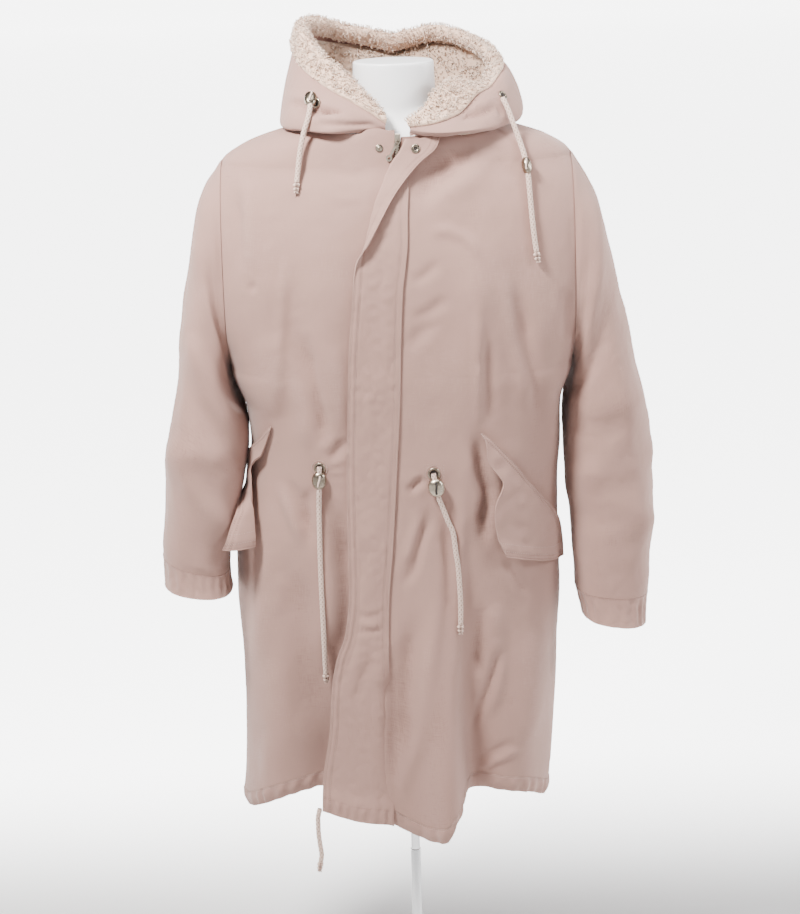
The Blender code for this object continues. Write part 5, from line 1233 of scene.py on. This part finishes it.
def makeLining(side, angles):
    look, seam = hood["lining"][side], hood["seam"][side]
    angles = np.clip(angles, look["angle"][0], look["angle"][-1])
    angles = np.linspace(angles[0], angles[-1], len(angles))
    rowsUp = np.linspace(2.5, 3.35, 8)
    reach = smooth(look, "row", angles)
    share = np.array([[np.interp(at, rowsUp, one) for one in np.eye(8)] for at in reach])
    here, normal, up = (np.einsum("ar,ark->ak", share, grid) for grid in hoodGrid(side, angles, rowsUp))
    lift = coat["cloth"] + hood["furLift"]
    top = here - normal * lift - up * 4 * coat["gap"]
    start, normalLow, _ = (grid[:, 0] for grid in hoodGrid(side, angles, [0.3]))
    foot = start - normalLow * lift
    radius, height = np.hypot(foot[:, 0], foot[:, 1]), foot[:, 2]
    topR = np.hypot(top[:, 0], top[:, 1])
    rise, run = top[:, 2] - height, topR - radius
    bulge = 0.25 * np.clip(np.hypot(rise, run) / 0.05 - 0.6, 0, 1)
    stops = (
        [radius, radius + run / 2 + rise * bulge, topR],
        [height, height + rise / 2 - run * bulge, top[:, 2]])
    face = around(angles, *(through(np.array(stop), np.linspace(0, 2, 26)).T for stop in stops))
    inwards = -unit(np.cross(unit(np.gradient(face, axis=0)), unit(np.gradient(face, axis=1))))
    inwards[:, 0], inwards[:, -1] = -normalLow, -normal
    inwards[seam] = unit(inwards[seam] * (0, 1, 1))
    depth = smooth(look, "depth", angles)[:, None, None]
    makePile("Lining", side, face + inwards * depth, face, "shadedLiningFur", 3 if side == "right" else 4)


def makePile(part, side, outer, inner, finish, seed):
    # curly fur: a rough base and small bent locks all over it
    name, look = "hood" + part + side.title(), hood["tufts"][part.lower()]
    out = unit(outer - inner)
    for grid in (outer, inner):  # the halves meet at the centre back
        grid[hood["seam"][side], :, 0] = 0
    rough = waves(outer, seed, 0.012) * 0.0008 + waves(outer, seed + 7, 0.028) * 0.0011
    depth = np.linalg.norm(outer - inner, axis=2)
    base = inner + out * (depth * 0.62 + np.clip(rough, -0.001, 0.001) * ease(depth / 0.006))[..., None]
    # the base under the locks gets a low tip value: painted shade deep in the pile
    makeSheet(name, "hood_" + part.lower() + "_" + side, base, inner, "dress_form", finish=finish,
              tip=0.20 + waves(outer, seed + 3, 0.01) * 0.05)
    random = np.random.default_rng(seed)
    area = cellAreas(base).ravel()
    count = int(area.sum() * look["perSquareMetre"])
    i, j = np.divmod(random.choice(len(area), count, p=area / area.sum()), outer.shape[1] - 1)
    s, t = random.uniform(size=(2, count, 1))

    def mix(grid):
        near, far = (grid[i, at] * (1 - s) + grid[i + 1, at] * s for at in (j, j + 1))
        return near * (1 - t) + far * t

    root, way, thick = mix(base), unit(mix(out)), mix(depth[..., None])[:, 0]
    lean = unit(np.cross(way, random.normal(size=(count, 3))))
    drift = unit(np.stack([waves(root, seed + 20 + k, 0.03) for k in range(3)], axis=-1) + (0, 0, -0.5))
    lean = unit(lean * 0.8 + drift * 0.9)
    lean = unit(lean - way * (lean * way).sum(1, keepdims=True))
    other = np.cross(way, lean)
    tall = thick * random.uniform(*look["tall"], count)
    curl = random.uniform(0.5, 1.2, count) * look["curl"]
    spin = random.uniform(-1, 1, count)
    radius = look["radius"] * random.uniform(0.7, 1.35, count)
    rings, sides = 4, 3
    length = np.linspace(0, 1, rings)
    points = np.empty((count, rings, sides, 3))
    for r, (share, size) in enumerate(zip(length, (1.0, 1.15, 0.9, 0.12))):
        bend = curl * share * 2.4
        up = tall * 0.75 * np.sin(np.minimum(bend, 2.6)) / np.maximum(bend, 0.3) * share * 2.2
        along = curl * tall * share**1.2 * 1.1
        twist = spin * 0.0014 * np.sin(share * 5.0)
        centre = root + way * np.minimum(up, tall)[:, None] + lean * along[:, None] + other * twist[:, None]
        for k in range(sides):
            turn = k * 2 * math.pi / sides
            ring = math.cos(turn) * other + math.sin(turn) * (way * 0.8 + lean * 0.3)
            points[:, r, k] = centre + (radius * size)[:, None] * ring
    start = (np.arange(count) * rings * sides)[:, None, None]
    faces = (start + np.array(ringFaces(rings, sides, caps=False))).reshape(-1, 4)
    mesh = quadMesh(name + "Locks", points, faces)
    # each lock darker at its root, lighter at its tip: painted shade deep in the pile
    tips = length[None] * 0.75 + 0.22 + random.normal(size=(count, 1)) * 0.09
    setMark(mesh, "tip", np.clip(np.repeat(tips[..., None], sides, axis=2), 0, 1))
    newObject(name + "Locks", mesh, finish, sharp=180)


flapLook = {"rows": 76, "columns": 30, "coarse": (5, 7), "stitches": (0.003, 0.009)}
flaps = {
    "right": table("freeX freeZ freeOut seamX seamZ seamOut seamForward",
        (-0.179, 0.97, 0.0015, -0.1815, 0.9695, 0.0014, 0),
        (-0.183, 0.955, 0.003, -0.193, 0.953, 0.003, 0), (-0.188, 0.939, 0.004, -0.206, 0.934, 0.004, 0),
        (-0.192, 0.923, 0.007, -0.2145, 0.918, 0.004, 0), (-0.205, 0.905, 0.01, -0.216, 0.9, 0.003, 0),
        (-0.203, 0.879, 0.013, -0.221, 0.873, 0.0016, 0.002),
        (-0.2025, 0.863, 0.014, -0.2245, 0.86, 0.004, 0.014),
        (-0.202, 0.846, 0.015, -0.224, 0.844, 0.011, 0.04),
        (-0.2015, 0.828, 0.016, -0.227, 0.825, 0.018, 0.046),
        (-0.201, 0.811, 0.016, -0.231, 0.808, 0.02, 0.052),
        (-0.202, 0.797, 0.016, -0.235, 0.795, 0.022, 0.058)),
    "left": table("freeX freeZ freeOut seamX seamZ seamOut seamForward",
        (0.1033, 0.959, 0.002, 0.1065, 0.9587, 0.0014, 0),
        (0.11, 0.9453, 0.004, 0.1225, 0.9442, 0.0014, 0), (0.111, 0.9308, 0.006, 0.136, 0.9282, 0.0014, 0),
        (0.1115, 0.9163, 0.007, 0.1486, 0.9117, 0.0014, 0),
        (0.1205, 0.9035, 0.009, 0.1584, 0.8983, 0.0014, 0),
        (0.129, 0.8879, 0.012, 0.1684, 0.8814, 0.0014, 0),
        (0.1255, 0.8737, 0.014, 0.1814, 0.8634, 0.0014, 0),
        (0.118, 0.8601, 0.015, 0.1935, 0.8439, 0.003, 0),
        (0.1163, 0.8457, 0.015, 0.2062, 0.8221, 0.004, 0), (0.1168, 0.831, 0.015, 0.2125, 0.8, 0.004, 0),
        (0.1195, 0.8087, 0.015, 0.2155, 0.7744, 0.0045, 0), (0.13, 0.781, 0.017, 0.216, 0.748, 0.0055, 0)),
}


def makePocketFlaps():
    print("stage: pocket flaps")
    skip, few = flapLook["coarse"]
    share = np.linspace(0, 1, flapLook["columns"])[None]
    for side, rows in flaps.items():
        order = rows["freeZ"][::-1]
        at = np.linspace(order[0], order[-1], flapLook["rows"])
        line = {name: np.interp(at, order, values[::-1]) for name, values in rows.items()}
        panel = "front" + side.title()
        under = []
        for i in range(0, len(at), skip):
            row = []
            for t in np.linspace(0, 1, few):
                x, z, out = (
                    line["free" + end][i] + (line["seam" + end][i] - line["free" + end][i]) * t
                    for end in ("X", "Z", "Out"))
                place, normal = clothAt(panel, x, z)
                row.append(place + normal * (out + 0.0008) - np.array((0, line["seamForward"][i] * t, 0)))
            under.append(row)
        under = resample(np.array(under), len(at), flapLook["columns"])
        normal = unit(np.cross(np.gradient(under, axis=0), np.gradient(under, axis=1)))
        normal *= -np.sign(normal[..., 1:2])
        span = np.linalg.norm(under[:, -1] - under[:, 0], axis=1)[:, None]
        fromFree, fromSeam = share * span, (1 - share) * span
        fromLow = np.linspace(0, lengths(under[:, 0])[-1], len(at))[:, None]
        uneven = waves(under, 71, 0.03) * 0.0006 * ease(fromSeam / 0.006)
        lines = sum(
            groove(distance - inset, 0.0006)
            for distance in (fromSeam, fromLow) for inset in flapLook["stitches"])
        outer = under + normal * (coat["cloth"] + 0.0005 + uneven + lines)[..., None]
        # painted shade in the stitch grooves
        makeSheet("pocketFlap" + side.title(), "pocket_flap_" + side, outer, under, panel,
                  0.5 + lines * 520)
        for inset in flapLook["stitches"]:
            stitchRow([follow(wide[0] - inset, run, row) for wide, run, row in zip(span, fromFree, outer)],
                      normal[:, -3])
        for row in (4, 9):
            stitchRow(outer[row], normal[row])


def resample(grid, rows, columns):  # a finer grid through a coarse one
    for count, axis in ((rows, 0), (columns, 1)):
        grid = np.moveaxis(grid, axis, 0)
        grid = np.moveaxis(through(grid, np.linspace(0, len(grid) - 1, count)), 0, axis)
    return grid


cords = {
    "pitch": 0.0135, "sides": 14,
    "knots": ((0.0034, 0.0046, 1.0), (0.0092, 0.0040, 0.9)), "frays": 34,  # place, size, squash
    "routes": {
        "waist_cord_right": [
            (-0.1168, -0.1446, 0.9185), (-0.1177, -0.1461, 0.8995), (-0.1183, -0.1468, 0.885),
            (-0.1195, -0.1427, 0.8602), (-0.1202, -0.1425, 0.8256), (-0.1207, -0.1425, 0.7937),
            (-0.1208, -0.1427, 0.7589), (-0.1206, -0.1425, 0.7265), (-0.1203, -0.1405, 0.6812),
            (-0.1202, -0.135, 0.6326), (-0.1197, -0.132, 0.612),
        ],
        "waist_cord_left": [
            (0.0384, -0.1512, 0.906), (0.0419, -0.1531, 0.8866), (0.0448, -0.1533, 0.872),
            (0.0504, -0.1512, 0.8562), (0.0569, -0.1505, 0.8371), (0.0634, -0.15, 0.8209),
            (0.0655, -0.15, 0.8051), (0.0669, -0.15, 0.7905), (0.0693, -0.1495, 0.7727),
            (0.0704, -0.149, 0.7535), (0.0713, -0.149, 0.7344), (0.0717, -0.1487, 0.7148),
            (0.0712, -0.1485, 0.686),
        ],
        "hood_cord_right": [
            (-0.111, -0.0622, 1.4165), (-0.1117, -0.0714, 1.4085), (-0.1126, -0.0823, 1.3989),
            (-0.114, -0.0872, 1.391), (-0.1165, -0.0903, 1.382), (-0.12, -0.093, 1.3725),
            (-0.1245, -0.0975, 1.3559), (-0.1276, -0.1005, 1.3418), (-0.1296, -0.104, 1.329),
            (-0.1317, -0.108, 1.3136), (-0.133, -0.1115, 1.303),
        ],
        "hood_cord_left": [
            (0.1456, -0.0514, 1.4), (0.1494, -0.0585, 1.3925), (0.1533, -0.064, 1.383),
            (0.157, -0.069, 1.3721), (0.1607, -0.0735, 1.3616), (0.1667, -0.081, 1.3437),
            (0.1712, -0.0905, 1.3285), (0.1738, -0.0985, 1.3146), (0.1756, -0.105, 1.301),
            (0.1765, -0.1105, 1.2848), (0.1779, -0.1173, 1.2618), (0.1798, -0.1243, 1.2375),
            (0.182, -0.1275, 1.2163), (0.1836, -0.1295, 1.204),
        ],
        "hem_cord": [
            (-0.1356, -0.1462, 0.4113), (-0.1388, -0.1472, 0.395), (-0.1388, -0.1478, 0.3783),
            (-0.1374, -0.148, 0.358), (-0.1356, -0.148, 0.3405), (-0.1374, -0.148, 0.3285),
        ],
    },
}
stoppers = {  # cord, its point, width, depth, height
    "waist_stopper_right": ("waist_cord_right", 1, 0.0188, 0.0125, 0.0245),
    "waist_stopper_left": ("waist_cord_left", 1, 0.0215, 0.0135, 0.0255),
    "hood_stopper_right": ("hood_cord_right", 1, 0.016, 0.012, 0.0245),
    "hood_stopper_left": ("hood_cord_left", 7, 0.012, 0.018, 0.0235),
}


def pieceName(node):
    first, *rest = node.split("_")
    return first + "".join(word.title() for word in rest)


def makeCords():
    print("stage: cords")
    for name, route in cords["routes"].items():
        line = curveThrough(route, 0.0009)
        ahead, run = unit(np.gradient(line, axis=0)), lengths(line)
        side, sides = np.array((0.2, -0.9, 0.3)), cords["sides"]
        turn = np.arange(sides) * 2 * math.pi / sides
        points, tone = [], []
        for place, way, s in zip(line, ahead, run):
            side = unit(side - way * (side @ way))
            other = np.cross(way, side)
            # strands cross over each other both ways
            crossing = s * 2 * math.pi / cords["pitch"]
            left, right = (np.abs(np.sin(turn * 2 + turned)) for turned in (crossing, -crossing))
            height = np.maximum(left, right)
            radius = coat["cord"] / 2 * (0.76 + 0.26 * height)
            points.append(place + radius[:, None] * turning(sides, side, other))
            # painted shade: the braid's grooves darker, its crowns lighter
            tone.append(height**2.5)
        parts = [(np.concatenate(points), ringFaces(len(line), sides))]
        made = merged(pieceName(name), parts, "cord", sharp=180,
                      tip=np.concatenate(tone) * 0.85)
        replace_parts(made, name)
        used = [makeCordEnd(name, line[-1], ahead[-1], side, other)]
        for stopper, (cord, *_) in stoppers.items():
            if cord == name:
                used += makeStopper(stopper, route)


def makeCordEnd(node, place, way, one, two):
    # two soft knot lumps, then a frayed tip
    parts, tones = [], []
    random = np.random.default_rng(len(node))
    for centre, size, squash in cords["knots"]:
        rows = [(size * math.sqrt(max(0.02, 1 - h * h)), centre + h * size * 0.72 * squash)
                for h in np.linspace(-1, 1, 11)]
        points, _ = turnedParts(rows, 20, place, way)
        index = np.arange(len(points))
        bump = 1 + 0.10 * np.sin(index * 2 * math.pi / 20 * 3 + index // 20 * 0.9)
        middle = place + way * centre
        parts.append((middle + (points - middle) * bump[:, None], ringFaces(len(rows), 20)))
        tones.append(0.45 + 0.35 * np.sin(index * 2 * math.pi / 20 * 3))
    for _ in range(cords["frays"]):
        spread = unit(one * random.normal() + two * random.normal())
        start = place + way * 0.0105 + spread * random.uniform(0, 0.0022)
        path = [start + way * s * 0.0042 + spread * (s**1.6) * random.uniform(0.0004, 0.0024)
                for s in (0, 0.35, 0.7, 1)]
        parts.append(tubeParts(path, (0.00042, 0.00036, 0.0003, 0.00014), 5, (0.31, 0.17, 0.93)))
        tones.append(np.full(len(parts[-1][0]), random.uniform(0.35, 0.95)))
    made = merged(pieceName(node) + "End", parts, "cord", tip=np.concatenate(tones), sharp=70)
    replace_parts(made, node + "_end")
    return made


def makeStopper(name, route):
    _, point, width, depth, height = stoppers[name]
    ahead = unit(np.array(route[point + 1]) - np.array(route[point - 1]))
    half, top, centre = width / 2, height / 2, np.array(route[point])
    rows = [(half * (1 - abs(h) ** 2.3) ** 0.47 + 0.0006, h * top) for h in np.linspace(-0.985, 0.985, 25)]
    rows = [(0.0005, -top)] + rows + [(0.0005, top)]
    finish = "polished" if name == "waist_stopper_left" else "metal"
    shell = turnedParts(rows, 44, centre, -ahead, flat=depth / width)
    made = merged(pieceName(name), [shell], finish, sharp=50)
    # a slot down its front, with a strand of the cord in it
    across = unit(np.cross(ahead, (0, -1, 0)))
    out = unit(np.cross(across, ahead))
    out = out if out[1] < 0 else -out
    lines = []
    for shift, radius, raised in ((0, 0.0021, -0.0009), (0.0002, 0.0012, 0.0009)):
        path = [centre + ahead * t * top + out * (depth / 2 * (1 - abs(t) ** 2.1) ** 0.5 + raised)
                + across * (shift + 0.0012 * math.sin(t * 3)) for t in np.linspace(-0.62, 0.62, 15)]
        lines.append(tubeParts(path, radius, 10, (0.31, 0.17, 0.93)))
    # the slot is a dark tube of painted shade
    merged(made.name + "Slot", lines[:1], "dark", sharp=60)
    # on the polished stopper the strand takes the dark finish too: painted shade
    shown = merged(made.name + "Strand", lines[1:], "cord" if finish == "metal" else "dark", sharp=60,
                   tip=np.full(len(lines[1][0]), 0.8))
    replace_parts(made, name)
    return made, shown


metals = {
    "rings": {  # what it sits on, x, z, radius, hole, height
        "waist_eyelet_right": ("frontRight", -0.1168, 0.915, 0.0082, 0.0048, 0.0013),
        "waist_eyelet_left": ("frontLeft", 0.0392, 0.904, 0.0088, 0.0052, 0.0013),
        "hood_eyelet_right": ("hoodShellRight", -0.104, 1.403, 0.007, 0.004, 0.0012),
        "hood_eyelet_left": ("hoodShellLeft", 0.1462, 1.4025, 0.007, 0.004, 0.0012),
        "snap_socket": ("stormFlap", 0.026, 1.3436, 0.0062, 0.0022, 0.0016),
    },
    "stud": (  # radius, height
        (0.00001, 0.0031), (0.0012, 0.0030), (0.0019, 0.0024), (0.0021, 0.0016), (0.0026, 0.0012),
        (0.0040, 0.0013), (0.0048, 0.0009), (0.0050, 0.0), (0.00001, 0.0)),
    "studAt": (-0.0221, 1.3442), "lift": 0.0007, "patch": 0.0135,
    "tooth": (0.0036, 0.0024, 0.0014), "toothPitch": 0.00165,
}


def onFront(tree, x, z):
    place, normal, _, _ = tree.ray_cast(Vector((x, -1.0, z)), Vector((0, 1, 0)))
    return np.array(place), np.array(normal if normal.y < 0 else -normal)


def makeMetals():
    print("stage: metals")
    trees = {}
    for name in ("frontLeft", "frontRight", "stormFlap", "hoodShellLeft", "hoodShellRight"):
        mesh = bpy.data.objects[name].data
        points, faces = [v.co for v in mesh.vertices], [p.vertices for p in mesh.polygons]
        trees[name] = BVHTree.FromPolygons(points, faces)
    for name, (carrier, x, z, radius, hole, height) in metals["rings"].items():
        place, normal = onFront(trees[carrier], x, z)
        middle, half = (radius + hole) / 2, (radius - hole) / 2
        rows = [(middle + half * math.cos(t), height * (0.15 + 0.95 * math.sin(t)))
                for t in np.linspace(0, math.pi, 13)]
        rows += [(hole, -0.0006), (radius, -0.0006), rows[0]]
        raised = place + normal * metals["lift"]
        made = merged(pieceName(name), [turnedParts(rows, 48, raised, normal)], "metal")
        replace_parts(made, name)
        # a dark disc in the hole: painted shade
        disc = turnedParts([(0.00001, 0.0002), (hole, 0.0002)], 32, raised, normal)
        merged(made.name + "Hole", [disc], "dark")
        if "waist" in name:
            fabricRing(place, normal, radius + 0.0028)
        if name == "waist_eyelet_left":
            patch, square = metals["patch"], ((-1, 1), (1, 1), (1, -1), (-1, -1), (-1, 1))
            corners = [(x + a * patch, z + b * patch) for a, b in square]
            for start, end in zip(corners, corners[1:]):
                line = curveThrough([start, (np.array(start) + end) / 2, end], 0.004)
                stitchRow(*zip(*(onFront(trees[carrier], *spot) for spot in line)))
    place, normal = onFront(trees["frontRight"], *metals["studAt"])
    stud = turnedParts(metals["stud"], 40, place + normal * 0.0004, normal)
    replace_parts(merged("snapStud", [stud], "polished"), "snap_stud")
    makeZip()


def fabricRing(place, normal, radius):
    # stitches round an eyelet, which sew down the cloth there
    across = unit(np.cross(normal, (0.3, 0.2, 0.9)))
    other = np.cross(normal, across)
    turn = np.linspace(0, 2 * math.pi, 40)[:, None]
    ring = place + radius * (np.cos(turn) * across + np.sin(turn) * other) + normal * 0.0001
    stitchRow(ring, np.repeat(normal[None], 40, axis=0), pitch=0.0026)


def makeZip():
    # teeth on both sides of the line, up to the slider
    parts, z, flip = [], coat["zipLow"] + 0.004, 1
    wide, deep, tall = metals["tooth"]
    while z < coat["sliderZ"] - 0.004:
        x, row = float(fly("zipX", z)), outline(z, "frontLeft")
        y = float(np.interp(x, row[:, 0], row[:, 1]))
        tooth = bmesh.new()
        bmesh.ops.create_cube(tooth, size=1)
        for vert in tooth.verts:
            narrow = 0.7 if vert.co.x * flip > 0 else 1.0
            vert.co = Vector((x + flip * -0.0006 + vert.co.x * wide, y + 0.0004 + vert.co.y * deep,
                              z + vert.co.z * tall * narrow))
        points = np.array([v.co[:] for v in tooth.verts])
        parts.append((points, [[v.index for v in f.verts] for f in tooth.faces]))
        tooth.free()
        z += metals["toothPitch"]
        flip = -flip
    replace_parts(merged("zipTeeth", parts, "metal"), "zip_chain")
    for node, finish in (("zip_slider", "polished"), ("zip_pull", "polished"), ("zip_tape", "facing")):
        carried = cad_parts[node]
        carried.data.materials.clear()
        carried.data.materials.append(finishes[finish].material)
        if finish == "polished":
            bevel = carried.modifiers.new("edges", "BEVEL")
            bevel.width, bevel.segments, bevel.limit_method = 0.00025, 2, "ANGLE"


form = {
    "top": 1.45, "edge": 0.003,
    "pole": (  # radius, height
        (0.00001, 0.7997), (0.0392, 0.7997), (0.0400, 0.7990), (0.0400, 0.7965), (0.0392, 0.7957),
        (0.0085, 0.7945), (0.0065, 0.7925), (0.0065, 0.2740), (0.0078, 0.2735), (0.0082, 0.2725),
        (0.0082, 0.0240), (0.0095, 0.0200), (0.0150, 0.0130), (0.0160, 0.0123), (0.00001, 0.0123)),
    "base": (
        (0.00001, 0.0), (0.1692, 0.0), (0.1700, 0.0008), (0.1696, 0.0026), (0.1672, 0.0046), (0.150, 0.008),
        (0.090, 0.0104), (0.030, 0.012), (0.00001, 0.012)),
    "sections": table("z halfWidth front back",
        (0.8, 0.15, 0.104, 0.098), (0.9, 0.15, 0.104, 0.092), (1, 0.165, 0.116, 0.102),
        (1.1, 0.186, 0.126, 0.114), (1.2, 0.202, 0.118, 0.112), (1.26, 0.207, 0.108, 0.102),
        (1.3, 0.206, 0.098, 0.092), (1.325, 0.2, 0.088, 0.085), (1.3435, 0.19, 0.082, 0.082),
        (1.3535, 0.172, 0.078, 0.077), (1.3613, 0.14, 0.074, 0.071), (1.369, 0.104, 0.0675, 0.066),
        (1.3785, 0.074, 0.061, 0.06), (1.392, 0.058, 0.057, 0.057), (1.45, 0.055, 0.055, 0.055)),
}


def makeForm(columns=96):
    print("stage: form and stand")
    angle = np.arange(columns) * 2 * math.pi / columns

    def ring(z, shrink, height):
        square = 2 / coat["round"] + (1 - 2 / coat["round"]) * ease((z - 1.372) / 0.012)
        half, front, back = (smooth(form["sections"], name, z) for name in ("halfWidth", "front", "back"))
        depth = np.where(np.cos(angle) > 0, front, back)
        x = (half - shrink) * power(np.sin(angle), square)
        y = -(depth - shrink) * power(np.cos(angle), square)
        return np.stack([x, y, np.full(columns, height)], axis=-1)

    edge, top = form["edge"], form["top"]
    heights = np.concatenate([[0.8, 0.8004], np.linspace(0.804, 1.385, 90), np.linspace(1.39, 1.4465, 16)])
    points = [ring(z, edge if z < 0.8002 else 0, z) for z in heights]
    for t in np.linspace(0.15, 1, 7) * math.pi / 2:
        points.append(ring(top, edge * (1 - math.cos(t)), top - edge + edge * math.sin(t)))
    parts = [(np.concatenate(points), ringFaces(len(points), columns))]
    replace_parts(merged("dressForm", parts, "skin", sharp=60), "dress_form")
    for name, profile, steps, finish, slot, node in (
            ("standPole", form["pole"][::-1], 48, "chrome", "stand_metal", "stand_pole"),
            ("standBase", form["base"], 120, "steel", "base_metal", "stand_base")):
        parts = [turnedParts(profile, steps, (0, 0, 0), (0, 0, 1))]
        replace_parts(merged(name, parts, finish, sharp=30), node)


makeFinishes()
setStage()
makePanels()
makeStormFlap()
makeSleeves()
makeHood()
makePocketFlaps()
makeCords()
makeMetals()
makeForm()
print("stage: stitches", len(stitchParts))
merged("stitches", stitchParts, "thread", sharp=180)
